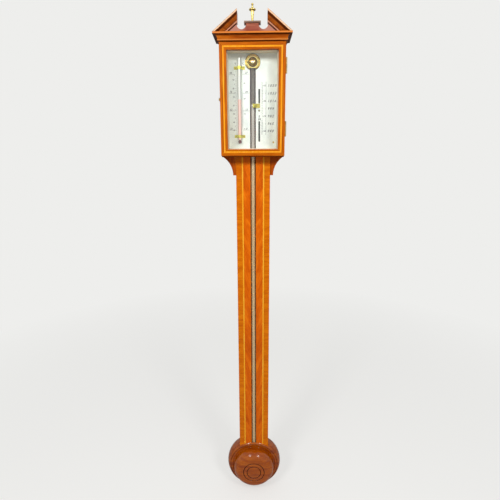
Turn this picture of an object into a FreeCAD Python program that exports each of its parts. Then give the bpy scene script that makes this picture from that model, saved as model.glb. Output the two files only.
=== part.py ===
"""Stick barometer: a narrow mahogany case that hangs on a wall.

Millimetres. The origin is the centre of the hanging hole, on the plane of the wall.
+Z is up, +X is to the viewer's right, and the front of the case faces -Y.
"""
import FreeCAD, Part
import math
import os

V = FreeCAD.Vector
os.makedirs("parts", exist_ok=True)

# Driving sizes of the trunk, the long board that everything hangs on
trunk_width = 63.0
trunk_depth = 26.0
trunk_end_below_cover_centre = 37.0
veneer_thickness = 1.2
crossbanding_width = 10.8
stringing_width = 2.4

# Glass tube, its mercury and the groove that they lie in
tube_diameter = 9.0
tube_wall = 1.0
tube_below_face = 0.2
tube_side_gap = 0.5
tube_end_room = 2.0
tube_top_above_cap_centre = 5.0
tube_dip_under_level = 24.0
mercury_gap = 0.25
mercury_foot_above_level = 14.0
meniscus_height = 0.8

# The inch scale is true: the mark of 30 inches stands 762 above the mercury in the cistern.
# The scale runs from 28 to 31 inches, and the mercury stands at 29.83 inches.
thirty_below_hanging_hole = 68.5
thirty_above_cistern_mercury = 762.0
low_mark_below_thirty = 50.8
high_mark_above_thirty = 25.4
mercury_below_thirty = 4.3

# Hood, a shallow box round the top of the trunk
hood_width = 111.0
hood_wall = 9.0
hood_floor_thickness = 8.0
hood_roof_thickness = 7.5
recess_depth = 18.7
slip_sill = 1.5
sill_below_lowest_vernier = 0.4
sight_above_cap = 0.75
fitting_gap = 0.3

# Brackets under the hood
bracket_height = 33.5
bracket_foot_half_width = 37.0
bracket_setback = 1.0

# Glazed door
door_thickness = 11.0
door_gap = 0.3
door_below_roof = 1.7
door_above_floor = 2.3
door_stile_width = 12.0
door_rail_width = 11.2
door_rabbet = 3.0
door_rabbet_depth = 6.0
glass_thickness = 2.0
door_string_inset = 5.3
door_string_width = 2.4
door_string_depth = 1.2

# Butt hinges
hinge_length = 25.0
hinge_leaf_width = 8.0
hinge_leaf_thickness = 0.9
hinge_knuckle_radius = 1.35
hinge_pin_radius = 0.7
hinge_running_gap = 0.05
hinge_end_gap = 0.15
hinge_turning_gap = 0.3
hinge_knuckles = 5
hinge_top_below_door_top = 34.3
hinge_bottom_above_door_bottom = 45.3
hinge_screw_spacing = 15.0
hinge_leaf_lap = 0.5
hinge_pin_end = 0.4

# Door pull and spring catch on the closing side
pull_below_hole = 68.0
pull_radius = 3.0
pull_projection = 2.6
pull_rose_radius = 2.3
pull_neck_radius = 1.7
pull_neck_height = 0.7
pull_swell_height = 1.5
pull_edge = 0.3
pull_spigot_radius = 1.2
pull_spigot_length = 7.0
catch_below_pull = 22.0
catch_radius = 1.9
catch_projection = 0.6
catch_plunger_length = 4.0
catch_bore_depth = 10.0
catch_bore_gap = 0.1
catch_socket_gap = 0.4
catch_socket_depth = 1.2
catch_spring_wire = 0.5
catch_spring_gap = 0.2

# Cornice and broken pediment
cornice_height = 11.6
cornice_projection = 9.5
cornice_fillet = 3.0
cornice_bead = 2.4
cornice_bead_projection = 1.6
cornice_cove_step = 0.6
rake_inner_half_gap = 24.6
rake_rise = 32.8
rake_thickness = 13.2
rake_fillet = 2.6
rake_cove = 4.0
rake_reeds = 3
rake_reed_width = 1.6
rake_reed_height = 0.7
rake_reed_step = 0.5
rake_cove_root = 4.2
rake_bead_root = 1.2
rake_bead_height = 0.8
moulding_lip = 1.1
pediment_depth = 14.0
tympanum_setback = 1.0
tympanum_notch_radius = 7.7
tympanum_notch_x = 18.0
tympanum_notch_centre_height = 13.1
plinth_cap_half_width = 13.6
plinth_cap_thickness = 2.5
plinth_cap_depth = 17.0
plinth_cap_underside_height = 14.6
finial_height = 28.0
finial_foot_radius = 2.2
finial_foot_height = 0.8
finial_foot_cone_radius = 1.75
finial_foot_cone_height = 1.5
finial_stem_radius = 1.6
finial_stem_height = 2.6
finial_vase_radius = 2.75
finial_vase_height = 15.8
finial_waist_radius = 2.5
finial_waist_height = 16.9
finial_waist_round = 0.1
finial_collar_radius = 5.1
finial_collar_low = 17.3
finial_collar_high = 19.5
finial_collar_round = 0.55
finial_collar_slope = 0.3
finial_bud_radius = 1.3
finial_bud_low = 20.8
finial_bud_high = 23.7
finial_bud_round = 0.35
finial_ball_radius = 1.95
finial_ball_neck_radius = 0.9
finial_spigot_radius = 1.2
finial_spigot_length = 7.0

# Register plate and the brass cap over the end of the tube
plate_thickness = 1.2
plate_slot_gap = 0.7
plate_screw_side_edge = 9.7
plate_screw_edge = 17.3
plate_screw_top_edge = 10.2
cap_below_hole = 5.0
cap_radius = 13.35
cap_height = 4.6
cap_flange_height = 1.2
cap_bead_width = 2.0
cap_bead_height = 0.9
cap_groove_radius = 7.2
cap_groove_width = 0.8
cap_groove_depth = 0.35
cap_pin_x = 9.2
cap_notch_below_centre = 9.2

# Vernier
vernier_x = 11.3
vernier_slot_width = 3.0
vernier_slot_spare = 0.5
vernier_block_height = 12.0
vernier_block_below_pointer = 11.5
vernier_block_gap = 0.15
vernier_plate_width = 9.8
vernier_plate_left_of_slot = 4.1
vernier_plate_above_pointer = 0.7
vernier_plate_height = 30.0
vernier_plate_thickness = 1.0
vernier_lift = 0.1
pointer_height = 6.9
pointer_thickness = 1.8
pointer_reach_past_tube_axis = 0.6
vernier_knob_radius = 1.7
vernier_knob_height = 2.0
vernier_knob_round = 0.6
vernier_stem_radius = 0.8
vernier_spring_width = 7.6
vernier_spring_length = 18.0
vernier_spring_thickness = 0.8
vernier_channel_gap = 0.5
vernier_channel_depth = 2.6
vernier_channel_end_room = 1.0

# Thermometer
thermometer_x = -23.3
thermometer_radius = 3.0
thermometer_bore = 0.8
thermometer_bulb_radius = 3.65
thermometer_bulb_wall = 0.6
thermometer_plate_gap = 0.05
thermometer_bulb_below_hole = 137.7
thermometer_top_above_hole = 3.0
spirit_top_below_hole = 66.4
clip_width = 19.0
clip_height = 5.2
clip_thickness = 0.9
clip_play = 0.1
clip_top_below_hole = 14.3
clip_bottom_below_hole = 128.2
clip_pin_x = 7.2

# Small brass pins that hold the cap and the clips
pin_radius = 0.55
pin_head_radius = 1.0
pin_head_height = 0.5
pin_length = 5.0
pin_point = 1.0

# Turned cistern cover
cover_centre_below_level = 10.5
cover_radius = 59.3
cover_widest_depth = 13.0
cover_back_edge = 2.8
cover_back_round = 0.7
cover_rim_depth = 23.0
cover_front_edge = 2.0
cover_front_round = 0.5
cover_step_width = 0.7
cover_step_height = 1.0
cover_ring_depth = 28.4
cover_shoulder_width = 3.6
cover_shoulder_round = 0.9
cover_quirk_width = 1.2
cover_quirk_depth = 0.8
cover_valley_width = 2.6
cover_valley_edge = 1.6
cover_valley_depth = 1.2
dome_radius = 44.0
dome_corner_radius = 15.4
dome_front_depth = 53.8
dome_front_slope = 0.055
dome_apex_depth = 53.9
dome_groove_radius = 22.7
dome_inner_groove_radius = 15.0
dome_groove_width = 1.6
dome_groove_depth = 1.3
cover_pocket_gap = 0.2
cover_screw_side_edge = 7.5
cover_screw_z = 24.0

# Boxwood cistern
cistern_radius = 17.0
cistern_wall = 4.0
cistern_above_level = 20.0
cistern_lid_thickness = 6.0
cistern_cavity_gap = 0.6
gland_radius = 7.5
gland_height = 3.0
leather_thickness = 1.2
base_cap_height = 6.8
base_cap_floor = 3.0
strap_height = 9.0
strap_thickness = 0.9
strap_foot = 9.0
strap_foot_start = 1.2

# Transit screw that presses the leather up against the end of the tube
transit_screw_radius = 2.0
transit_thread_gap = 0.08
transit_travel = 4.0
transit_head_radius = 3.6
transit_head_height = 3.6
transit_head_gap = 0.4
transit_pad_radius = 10.0
transit_pad_thickness = 1.6
transit_pad_gap = 0.3
transit_neck_radius = 1.2
transit_neck_length = 0.8
transit_neck_gap = 0.1
transit_slot_width = 1.0
transit_slot_depth = 1.2
transit_head_recess = 1.8

# Hanging plate
hanging_hole_radius = 4.0
hanging_plate_half_width = 12.0
hanging_plate_top = 10.0
hanging_plate_bottom = 18.0
hanging_plate_thickness = 2.0
nail_pocket_radius = 6.5
nail_pocket_depth = 9.0
hanging_screw_side_edge = 3.2
hanging_screw_top_edge = 4.0
hanging_screw_bottom_edge = 5.0

# Screws: head radius, head height, shank radius, length under the surface
small_screw = (1.7, 0.9, 0.9, 7.5)
cover_screw = (3.4, 2.2, 1.7, 33.5)
screw_slot_width = 0.5
screw_slot_depth = 0.6
screw_point = 1.5

# A shape that cuts wood or metal reaches this far past it
past = 1.0
same_point = 1e-6

# Heights that follow from the driving sizes
z_thirty = -thirty_below_hanging_hole
z_level = z_thirty - thirty_above_cistern_mercury
z_cover = z_level - cover_centre_below_level
z_mercury = z_thirty - mercury_below_thirty
z_low_mark = z_thirty - low_mark_below_thirty
z_high_mark = z_thirty + high_mark_above_thirty
z_cap = -cap_below_hole
z_tube_top = z_cap + tube_top_above_cap_centre
z_tube_end = z_level - tube_dip_under_level
z_lowest_vernier = z_low_mark + vernier_plate_above_pointer - vernier_plate_height
z_sight_bottom = z_lowest_vernier - sill_below_lowest_vernier - slip_sill
z_sight_top = z_cap + cap_radius + sight_above_cap
z_door_bottom = z_sight_bottom - door_rail_width
z_door_top = z_sight_top + door_rail_width
z_hood_bottom = z_door_bottom - door_above_floor
z_hood_top = z_door_top + door_below_roof
z_floor_top = z_hood_bottom + hood_floor_thickness
z_roof_bottom = z_hood_top - hood_roof_thickness
z_cornice_top = z_hood_top + cornice_height
z_trunk_bottom = z_cover - trunk_end_below_cover_centre
z_cistern_top = z_level + cistern_above_level
z_cavity_top = z_cistern_top + cistern_lid_thickness + cistern_cavity_gap
z_cistern_bottom = z_tube_end - transit_travel
z_leather_bottom = z_cistern_bottom - leather_thickness
z_base_cap_bottom = z_leather_bottom - base_cap_height

# Depths, measured from the wall towards the front
y_face = -trunk_depth
y_core = y_face + veneer_thickness
y_case = y_face - recess_depth
y_door_back = y_case - door_gap
y_door_front = y_door_back - door_thickness
y_tube = y_face + tube_below_face + tube_diameter / 2.0

# Widths
trunk_half = trunk_width / 2.0
hood_half = hood_width / 2.0
hood_inner = hood_half - hood_wall
tube_radius = tube_diameter / 2.0
bore_radius = tube_radius - tube_wall
groove_half = tube_radius + tube_side_gap
sight_half = hood_half - door_stile_width
string_outer = trunk_half - crossbanding_width
string_inner = string_outer - stringing_width
slot_half = tube_radius + plate_slot_gap
cover_rim_edge_radius = cover_radius - cover_front_edge


def box(x, y, z):
    """A block from three (low, high) pairs given in any order."""
    low = V(min(x), min(y), min(z))
    return Part.makeBox(abs(x[1] - x[0]), abs(y[1] - y[0]), abs(z[1] - z[0]), low)


def rod(radius, start, end):
    """A round bar between two points."""
    return Part.makeCylinder(radius, (end - start).Length, start, end - start)


def joined(shapes):
    """One clean solid from overlapping shapes."""
    whole = shapes[0]
    for shape in shapes[1:]:
        whole = whole.fuse(shape)
    return whole.removeSplitter()


def outline(path, place):
    """A closed wire. A step is a point, or a pair (middle, end) for an arc."""
    edges = []
    start = path[0]
    for step in path[1:] + [path[0]]:
        if isinstance(step[0], tuple):
            middle, end = step
            edges.append(Part.Arc(place(*start), place(*middle), place(*end)).toShape())
        else:
            end = step
            if place(*start).distanceToPoint(place(*end)) > same_point:
                edges.append(Part.LineSegment(place(*start), place(*end)).toShape())
        start = end
    return Part.Wire(edges)


def extruded(path, place, along):
    """A straight length of moulding or board with the given outline."""
    return Part.Face(outline(path, place)).extrude(along)


def turned(path, base, out, side):
    """A lathe-turned solid: path holds (radius, height along out) from the point base."""
    wire = outline(path, lambda r, h: base + side * r + out * h)
    return Part.Face(wire).revolve(base, out, 360)


def bowed(start, end, rise):
    """An arc step that bows out by rise to the right of the way from start to end."""
    dx = end[0] - start[0]
    dy = end[1] - start[1]
    length = math.hypot(dx, dy)
    middle_x = (start[0] + end[0]) / 2.0 + dy / length * rise
    middle_y = (start[1] + end[1]) / 2.0 - dx / length * rise
    return ((middle_x, middle_y), end)


def dome(radius, low, high):
    """Arc steps of a round top: it starts at radius and low, and ends on the axis at high."""
    rise = high - low
    sphere = (radius ** 2 + rise ** 2) / (2.0 * rise)
    angle = math.atan2(radius, sphere - rise) / 2.0
    return ((sphere * math.sin(angle), high - sphere + sphere * math.cos(angle)), (0.0, high))


def across(y_from, y_to):
    """Place for an outline drawn in the front view, and the vector that gives it depth."""
    return (lambda x, z: V(x, y_from, z)), V(0, y_to - y_from, 0)


def mirrored(shape):
    """The same piece on the other side of the case."""
    return shape.mirror(V(0, 0, 0), V(1, 0, 0))


def screw_blank(size, point, out):
    """The space a countersunk screw takes, its head flush at point and facing out."""
    head_radius, head_height, shank_radius, length = size
    head_path = [(0, 0), (head_radius, 0), (shank_radius, -head_height),
                 (shank_radius, screw_point - length)]
    side = V(0, 0, 1) if abs(out.z) < 0.5 else V(1, 0, 0)
    return turned(head_path + [(0.0, -length)], point, out, side)


def screw(size, point, out):
    """A countersunk screw with its slot."""
    head_radius = size[0]
    slot = box((-head_radius - past, head_radius + past), (-screw_slot_width / 2, screw_slot_width / 2),
               (-screw_slot_depth, past))
    slot.Placement = FreeCAD.Placement(point, FreeCAD.Rotation(V(0, 0, 1), out))
    return screw_blank(size, point, out).cut(slot)


def pin(point, out):
    """A brass pin with a low domed head that stands on point."""
    path = [(0, -pin_length), (pin_radius, pin_point - pin_length), (pin_radius, 0), (pin_head_radius, 0),
            dome(pin_head_radius, 0, pin_head_height)]
    return turned(path, point, out, V(1, 0, 0))


def write(node, *solids):
    """Save one sub-part: a solid, or a group of separate solids."""
    group = []
    for solid in solids:
        group.extend(solid.Solids)
    shape = group[0] if len(group) == 1 else Part.makeCompound(group)
    shape.exportStep("parts/" + node + ".step")
    print(node, len(group), "solid", round(shape.Volume / 1000.0, 2), "cm3")


FRONT = V(0, -1, 0)
BACK = V(0, 1, 0)
LEFT = V(-1, 0, 0)
UP = V(0, 0, 1)
DOWN = V(0, 0, -1)
RIGHT = V(1, 0, 0)


def plate_screw_points():
    """Centres of the screws at the four corners of the register plate."""
    side = hood_inner - plate_screw_side_edge
    z_low = z_floor_top + plate_screw_edge
    z_high = z_roof_bottom - plate_screw_top_edge
    return [V(x, y_face, z) for x in (-side, side) for z in (z_low, z_high)]


def pin_points():
    """Places of the pins: two through the cap and two through each thermometer clip."""
    y_cap = y_face - cap_flange_height
    points = [V(x, y_cap, z_cap) for x in (-cap_pin_x, cap_pin_x)]
    for z in (-clip_top_below_hole, -clip_bottom_below_hole):
        for x in (-clip_pin_x, clip_pin_x):
            points.append(V(thermometer_x + x, y_face - clip_thickness, z))
    return points


def hanging_screw_points():
    """Centres of the screws in the hanging plate, on the wall plane."""
    x = hanging_plate_half_width - hanging_screw_side_edge
    high = hanging_plate_top - hanging_screw_top_edge
    low = hanging_screw_bottom_edge - hanging_plate_bottom
    return [V(side * x, 0, z) for side in (-1, 1) for z in (high, low)]


def strap_screw_points():
    """Centres of the screws in the feet of the cistern strap."""
    x = cistern_radius + strap_foot_start + strap_foot / 2.0
    return [V(side * x, y_face - strap_thickness, z_level) for side in (-1, 1)]


def cover_screw_points():
    """Centres of the long screws that hold the cover, on the back of the trunk."""
    side = trunk_half - cover_screw_side_edge
    return [V(x, 0, z_cover + z) for x in (-side, side) for z in (-cover_screw_z, cover_screw_z)]


FASTENER_HOLES = (
    [screw_blank(small_screw, point, FRONT) for point in plate_screw_points()]
    + [pin(point, FRONT) for point in pin_points()]
    + [screw_blank(small_screw, point, BACK) for point in hanging_screw_points()]
    + [screw_blank(small_screw, point, FRONT) for point in strap_screw_points()]
    + [screw_blank(cover_screw, point, BACK) for point in cover_screw_points()]
)


def drilled(shape):
    """The shape with the holes of every screw and pin that reaches into it."""
    near = [hole for hole in FASTENER_HOLES if shape.BoundBox.intersect(hole.BoundBox)]
    return shape.cut(near) if near else shape


# The trunk and what is cut into it
def cistern_cavity():
    """The upright round hole that the cistern stands in."""
    radius = cistern_radius + cistern_cavity_gap
    low = z_trunk_bottom - cover_pocket_gap
    return rod(radius, V(0, y_tube, low - past), V(0, y_tube, z_cavity_top))


def tube_groove():
    """The round-bottomed groove for the glass tube."""
    top = z_tube_top + tube_end_room
    channel = box((-groove_half, groove_half), (y_face - past, y_tube), (z_level, top))
    return joined([channel, rod(groove_half, V(0, y_tube, z_level), V(0, y_tube, top))])


def vernier_slot_ends():
    """Lowest and highest point of the slot, set by the scale and the sliding block."""
    reach = vernier_block_height / 2.0 + vernier_slot_spare
    low = z_low_mark - vernier_block_below_pointer - reach
    high = z_high_mark - vernier_block_below_pointer + reach
    return low, high


def vernier_channel():
    """The shallow channel behind the register plate that the vernier's spring runs in."""
    low, high = vernier_slot_ends()
    half = vernier_spring_width / 2.0 + vernier_channel_gap
    y_deep = y_core + vernier_channel_depth
    reach = (vernier_spring_length - vernier_block_height) / 2.0 + vernier_channel_end_room
    return box((vernier_x - half, vernier_x + half), (y_core - past, y_deep), (low - reach, high + reach))


def hanging_pocket():
    """Recess for the hanging plate and the hole behind it for the head of a nail."""
    recess = box((-hanging_plate_half_width, hanging_plate_half_width), (-hanging_plate_thickness, past),
                 (-hanging_plate_bottom, hanging_plate_top))
    return joined([recess, rod(nail_pocket_radius, V(0, past, 0), V(0, -nail_pocket_depth, 0))])


def trunk():
    """The core, with a full-depth foot behind the cistern cover, and the veneers above the foot."""
    board = box((-trunk_half, trunk_half), (y_core, 0), (z_trunk_bottom, z_roof_bottom))
    foot = box((-trunk_half, trunk_half), (y_face, 0), (z_trunk_bottom, z_cavity_top))
    core = joined([board, foot])
    core = core.cut([cistern_cavity(), tube_groove(), vernier_channel(), hanging_pocket()])
    write("trunk_core", drilled(core))

    def strips(x_low, x_high):
        strip = box((x_low, x_high), (y_face, y_core), (z_cavity_top, z_hood_bottom))
        return drilled(strip), drilled(mirrored(strip))

    write("trunk_field_veneers", *strips(groove_half, string_inner))
    write("trunk_stringing", *strips(string_inner, string_outer))
    write("trunk_crossbanding", *strips(string_outer, trunk_half))


def brackets():
    """Shaped ears that carry the hood's overhang down to the trunk."""
    z_foot = z_hood_bottom - bracket_height
    spread = hood_half - bracket_foot_half_width
    radius = (bracket_height ** 2 + spread ** 2) / (2.0 * spread)
    turn = math.asin(bracket_height / radius) / 2.0
    centre_x = bracket_foot_half_width + radius
    middle = (centre_x - radius * math.cos(turn), z_foot + radius * math.sin(turn))
    path = [(trunk_half, z_hood_bottom), (trunk_half, z_foot), (bracket_foot_half_width, z_foot),
            (middle, (hood_half, z_hood_bottom))]
    right = extruded(path, *across(0, y_face + bracket_setback))
    write("bracket_right", right)
    write("bracket_left", mirrored(right))


# The hood
def hinge_middles():
    """Heights of the two hinges."""
    return z_door_top - hinge_top_below_door_top, z_door_bottom + hinge_bottom_above_door_bottom


hinge_x = hood_half + hinge_knuckle_radius + hinge_turning_gap
hinge_y = y_case - door_gap / 2.0


def hinge_leaf_space(y_from, y_to):
    """Recesses that the hinge leaves are let into."""
    return [box((hood_half - hinge_leaf_width, hood_half + past), (y_from, y_to),
                (z - hinge_length / 2.0, z + hinge_length / 2.0)) for z in hinge_middles()]


def hinge_screw_points(y):
    """Screw centres on the faces of the leaves."""
    x = hood_half - hinge_leaf_width / 2.0
    half = hinge_screw_spacing / 2.0
    return [V(x, y, z + side * half) for z in hinge_middles() for side in (-1, 1)]


catch_z = -pull_below_hole - catch_below_pull
catch_x = -(hood_half - hood_wall / 2.0)


def hood():
    z_side = (z_floor_top, z_roof_bottom)
    left = box((-hood_half, -hood_inner), (y_case, 0), z_side)
    bore = rod(catch_radius + catch_bore_gap, V(catch_x, y_case - past, catch_z),
               V(catch_x, y_case + catch_bore_depth, catch_z))
    write("hood_side_left", left.cut(bore))

    right = box((hood_inner, hood_half), (y_case, 0), z_side)
    right = right.cut(hinge_leaf_space(y_case - past, y_case + hinge_leaf_thickness))
    screws = [screw_blank(small_screw, point, FRONT) for point in hinge_screw_points(y_case)]
    write("hood_side_right", right.cut(screws))

    floor = box((-hood_half, hood_half), (y_case, 0), (z_hood_bottom, z_floor_top))
    z_through = (z_hood_bottom - past, z_floor_top + past)
    trunk_notch = box((-trunk_half, trunk_half), (y_core, past), z_through)
    tube_relief = box((-groove_half, groove_half), (y_face - fitting_gap, y_core + past), z_through)
    write("hood_floor", floor.cut([trunk_notch, tube_relief]))

    write("hood_roof", box((-hood_half, hood_half), (y_case, 0), (z_roof_bottom, z_hood_top)))

    cheek = drilled(box((trunk_half, hood_inner), (y_core, 0), z_side))
    left_cheek = drilled(box((-hood_inner, -trunk_half), (y_core, 0), z_side))
    write("hood_back_cheeks", left_cheek, cheek)

    x_slip = sight_half - slip_sill
    sill = z_sight_bottom + slip_sill
    y_slip = (y_case, y_face)
    side_slip = box((x_slip, hood_inner), y_slip, z_side)
    bottom_slip = box((-x_slip, x_slip), y_slip, (z_floor_top, sill))
    top_slip = box((-x_slip, x_slip), y_slip, (z_sight_top, z_roof_bottom))
    write("recess_slips", side_slip, mirrored(side_slip), bottom_slip, top_slip)


# Cornice and pediment
def cornice_profile():
    """Outline of the cornice: outward offset and height, from the board's lower front corner."""
    shoulder = cornice_height - cornice_fillet
    cove_start = cornice_bead_projection + cornice_cove_step
    cove_end = cornice_projection - moulding_lip
    cove_width = cove_end - cove_start
    cove_height = shoulder - cornice_bead
    middle = (cove_end - cove_width * math.sqrt(0.5), cornice_bead + cove_height * math.sqrt(0.5))
    foot = (cornice_bead_projection, 0)
    return [(0, 0), foot, bowed(foot, (cornice_bead_projection, cornice_bead), cornice_bead / 2.0),
            (cove_start, cornice_bead), (middle, (cove_end, shoulder)), (cornice_projection, shoulder),
            (cornice_projection, cornice_height), (0, cornice_height)]


def cornice():
    write("cornice_board", box((-hood_half, hood_half), (y_door_front, 0), (z_hood_top, z_cornice_top)))
    path = cornice_profile()
    tip_x = hood_half + cornice_projection
    tip_y = y_door_front - cornice_projection

    front = extruded(path, lambda o, h: V(-tip_x, y_door_front - o, z_hood_top + h), V(2 * tip_x, 0, 0))
    rise = V(0, 0, cornice_height + 2 * past)
    flat = lambda x, y: V(x, y, z_hood_top - past)
    front_region = extruded([(-hood_half, y_door_front), (-tip_x, tip_y), (tip_x, tip_y),
                             (hood_half, y_door_front)], flat, rise)
    write("cornice_front", front.common(front_region))

    side = extruded(path, lambda o, h: V(hood_half + o, tip_y, z_hood_top + h), V(0, -tip_y, 0))
    side_region = extruded([(hood_half, y_door_front), (tip_x, tip_y), (tip_x, past), (hood_half, past)],
                           flat, rise)
    right = side.common(side_region)
    write("cornice_return_right", right)
    write("cornice_return_left", mirrored(right))


rake_tip_x = hood_half + cornice_projection
rake_run = rake_tip_x - rake_inner_half_gap
rake_angle = math.atan2(rake_rise, rake_run)
rake_drop = rake_thickness / math.cos(rake_angle)
y_pediment_back = y_door_front + pediment_depth
y_tympanum = y_door_front + tympanum_setback
y_pediment_middle = (y_door_front + y_pediment_back) / 2.0
z_plinth_cap = z_cornice_top + plinth_cap_underside_height


def rake_underside(x):
    """Height of the raking cornice's lower edge at x."""
    return z_cornice_top + (rake_tip_x - x) * math.tan(rake_angle) - rake_drop


def rake_profile():
    """Outline of the raking cornice: depth under its top surface, and projection to the front."""
    cove_end = rake_fillet + rake_cove
    lip = cornice_projection - moulding_lip
    middle = (cove_end - rake_cove * math.sqrt(0.5), lip - (lip - rake_cove_root) * math.sqrt(0.5))
    path = [(0, -pediment_depth), (0, cornice_projection), (rake_fillet, cornice_projection),
            (rake_fillet, lip), (middle, (cove_end, rake_cove_root))]
    down = cove_end
    out = rake_cove_root
    for reed in range(rake_reeds):
        out -= rake_reed_step
        path.append((down, out))
        end = down + rake_reed_width
        path.append(((down + rake_reed_width / 2.0, out + rake_reed_height), (end, out)))
        down = end
    path.append((down, rake_bead_root))
    bulge = ((down + rake_thickness) / 2.0, rake_bead_root + rake_bead_height)
    path.append((bulge, (rake_thickness, rake_bead_root)))
    path.append((rake_thickness, -pediment_depth))
    return path


def pediment():
    tip = V(rake_tip_x, 0, z_cornice_top)
    along = V(-math.cos(rake_angle), 0, math.sin(rake_angle))
    under = V(-math.sin(rake_angle), 0, -math.cos(rake_angle))
    spare = 2.0 * rake_thickness
    length = math.hypot(rake_run, rake_rise) + 2.0 * spare
    start = tip - along * spare
    raking = extruded(rake_profile(), lambda n, o: start + under * n + V(0, y_door_front - o, 0),
                      along * length)
    room = box((rake_inner_half_gap, rake_tip_x + past),
               (y_pediment_back + past, y_door_front - 2 * cornice_projection),
               (z_cornice_top, z_cornice_top + rake_rise + past))
    right = raking.common(room)
    write("raking_cornice_right", right)
    write("raking_cornice_left", mirrored(right))

    foot = rake_tip_x - rake_drop / math.tan(rake_angle)
    outer = tympanum_notch_x + tympanum_notch_radius
    inner = tympanum_notch_x - tympanum_notch_radius
    z_notch = z_cornice_top + tympanum_notch_centre_height
    z_outer = rake_underside(outer)
    z_bottom = z_notch - tympanum_notch_radius
    path = [(-foot, z_cornice_top), (foot, z_cornice_top), (outer, z_outer), (outer, z_notch),
            ((tympanum_notch_x, z_bottom), (inner, z_notch)), (inner, z_plinth_cap),
            (-inner, z_plinth_cap), (-inner, z_notch), ((-tympanum_notch_x, z_bottom), (-outer, z_notch)),
            (-outer, z_outer)]
    spigot = rod(finial_spigot_radius, finial_base() + DOWN * finial_spigot_length, finial_base() + UP)
    board = extruded(path, *across(y_tympanum, y_pediment_back))
    write("tympanum", board.cut(spigot))

    cap_half_depth = plinth_cap_depth / 2.0
    cap = box((-plinth_cap_half_width, plinth_cap_half_width),
              (y_pediment_middle - cap_half_depth, y_pediment_middle + cap_half_depth),
              (z_plinth_cap, z_plinth_cap + plinth_cap_thickness))
    write("plinth_cap", cap.cut(spigot))


def finial_base():
    return V(0, y_pediment_middle, z_plinth_cap + plinth_cap_thickness)


def finial():
    """Brass finial: a slender vase, a collar, a bud and a ball."""
    top = finial_height
    neck = finial_ball_neck_radius
    ball_foot = top - finial_ball_radius - math.sqrt(finial_ball_radius ** 2 - neck ** 2)
    stem = (finial_stem_radius, finial_stem_height)
    vase = (finial_vase_radius, finial_vase_height)
    waist = (finial_waist_radius, finial_waist_height)
    collar_low = (finial_collar_radius, finial_collar_low)
    collar_high = (finial_collar_radius, finial_collar_high)
    bud_low = (finial_bud_radius, finial_bud_low)
    bud_high = (finial_bud_radius, finial_bud_high)
    path = [(0, -finial_spigot_length), (finial_spigot_radius, -finial_spigot_length),
            (finial_spigot_radius, 0), (finial_foot_radius, 0), (finial_foot_radius, finial_foot_height),
            (finial_foot_cone_radius, finial_foot_cone_height), stem,
            vase, bowed(vase, waist, finial_waist_round),
            (finial_waist_radius, finial_collar_low - finial_collar_slope), collar_low,
            bowed(collar_low, collar_high, finial_collar_round),
            (finial_foot_radius, finial_collar_high + finial_collar_slope), bud_low,
            bowed(bud_low, bud_high, finial_bud_round), (neck, ball_foot), dome(neck, ball_foot, top)]
    write("finial", turned(path, finial_base(), UP, RIGHT))


# The door
def mitred_frame(half, z_low, z_high, side, rail, y_from, y_to):
    """Four mitred lengths round an opening: left, right, bottom and top."""
    place, depth = across(y_from, y_to)
    a = (-half, z_low)
    b = (half, z_low)
    c = (half, z_high)
    d = (-half, z_high)
    e = (-half + side, z_low + rail)
    f = (half - side, z_low + rail)
    g = (half - side, z_high - rail)
    k = (-half + side, z_high - rail)
    corners = ([a, e, k, d], [b, c, g, f], [a, b, f, e], [d, k, g, c])
    return [extruded(path, place, depth) for path in corners]


def door():
    y_rabbet = y_door_back - door_rabbet_depth
    rabbet = box((-sight_half - door_rabbet, sight_half + door_rabbet), (y_rabbet, y_door_back + past),
                 (z_sight_bottom - door_rabbet, z_sight_top + door_rabbet))
    y_string = y_door_front + door_string_depth
    inset = door_string_inset
    string = joined(mitred_frame(hood_half - inset, z_door_bottom + inset, z_door_top - inset,
                                 door_string_width, door_string_width, y_door_front, y_string))
    leaves = hinge_leaf_space(y_door_back - hinge_leaf_thickness, y_door_back + past)
    screws = [screw_blank(small_screw, point, BACK) for point in hinge_screw_points(y_door_back)]
    socket = rod(catch_radius + catch_socket_gap, V(catch_x, y_door_back + past, catch_z),
                 V(catch_x, y_door_back - catch_socket_depth, catch_z))
    pull_hole = rod(pull_spigot_radius, pull_point() + LEFT * past,
                    pull_point() + RIGHT * pull_spigot_length)
    members = mitred_frame(hood_half, z_door_bottom, z_door_top, door_stile_width, door_rail_width,
                           y_door_back, y_door_front)
    names = ["door_stile_left", "door_stile_right", "door_rail_bottom", "door_rail_top"]
    extra = [[socket, pull_hole], leaves + screws, [], []]
    for name, member, cuts in zip(names, members, extra):
        write(name, member.cut([rabbet, string] + cuts))
    write("door_stringing", string)

    glass_edge = door_rabbet - fitting_gap
    y_glass = y_rabbet + glass_thickness
    write("door_glass", box((-sight_half - glass_edge, sight_half + glass_edge), (y_rabbet, y_glass),
                            (z_sight_bottom - glass_edge, z_sight_top + glass_edge)))
    bead = door_rabbet - fitting_gap
    beads = mitred_frame(sight_half + door_rabbet, z_sight_bottom - door_rabbet,
                         z_sight_top + door_rabbet, bead, bead, y_glass, y_door_back)
    write("door_glass_beads", *beads)


def pull_point():
    return V(-hood_half, (y_door_back + y_door_front) / 2.0, -pull_below_hole)


def door_pull():
    """Small brass knob on the closing edge of the door, with its spigot in the wood."""
    path = [(0, -pull_spigot_length), (pull_spigot_radius, -pull_spigot_length),
            (pull_spigot_radius, 0), (pull_rose_radius, 0), (pull_neck_radius, pull_neck_height),
            (pull_radius - pull_edge, pull_swell_height - pull_edge), (pull_radius, pull_swell_height),
            dome(pull_radius, pull_swell_height, pull_projection)]
    write("door_pull", turned(path, pull_point(), LEFT, UP))


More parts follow.
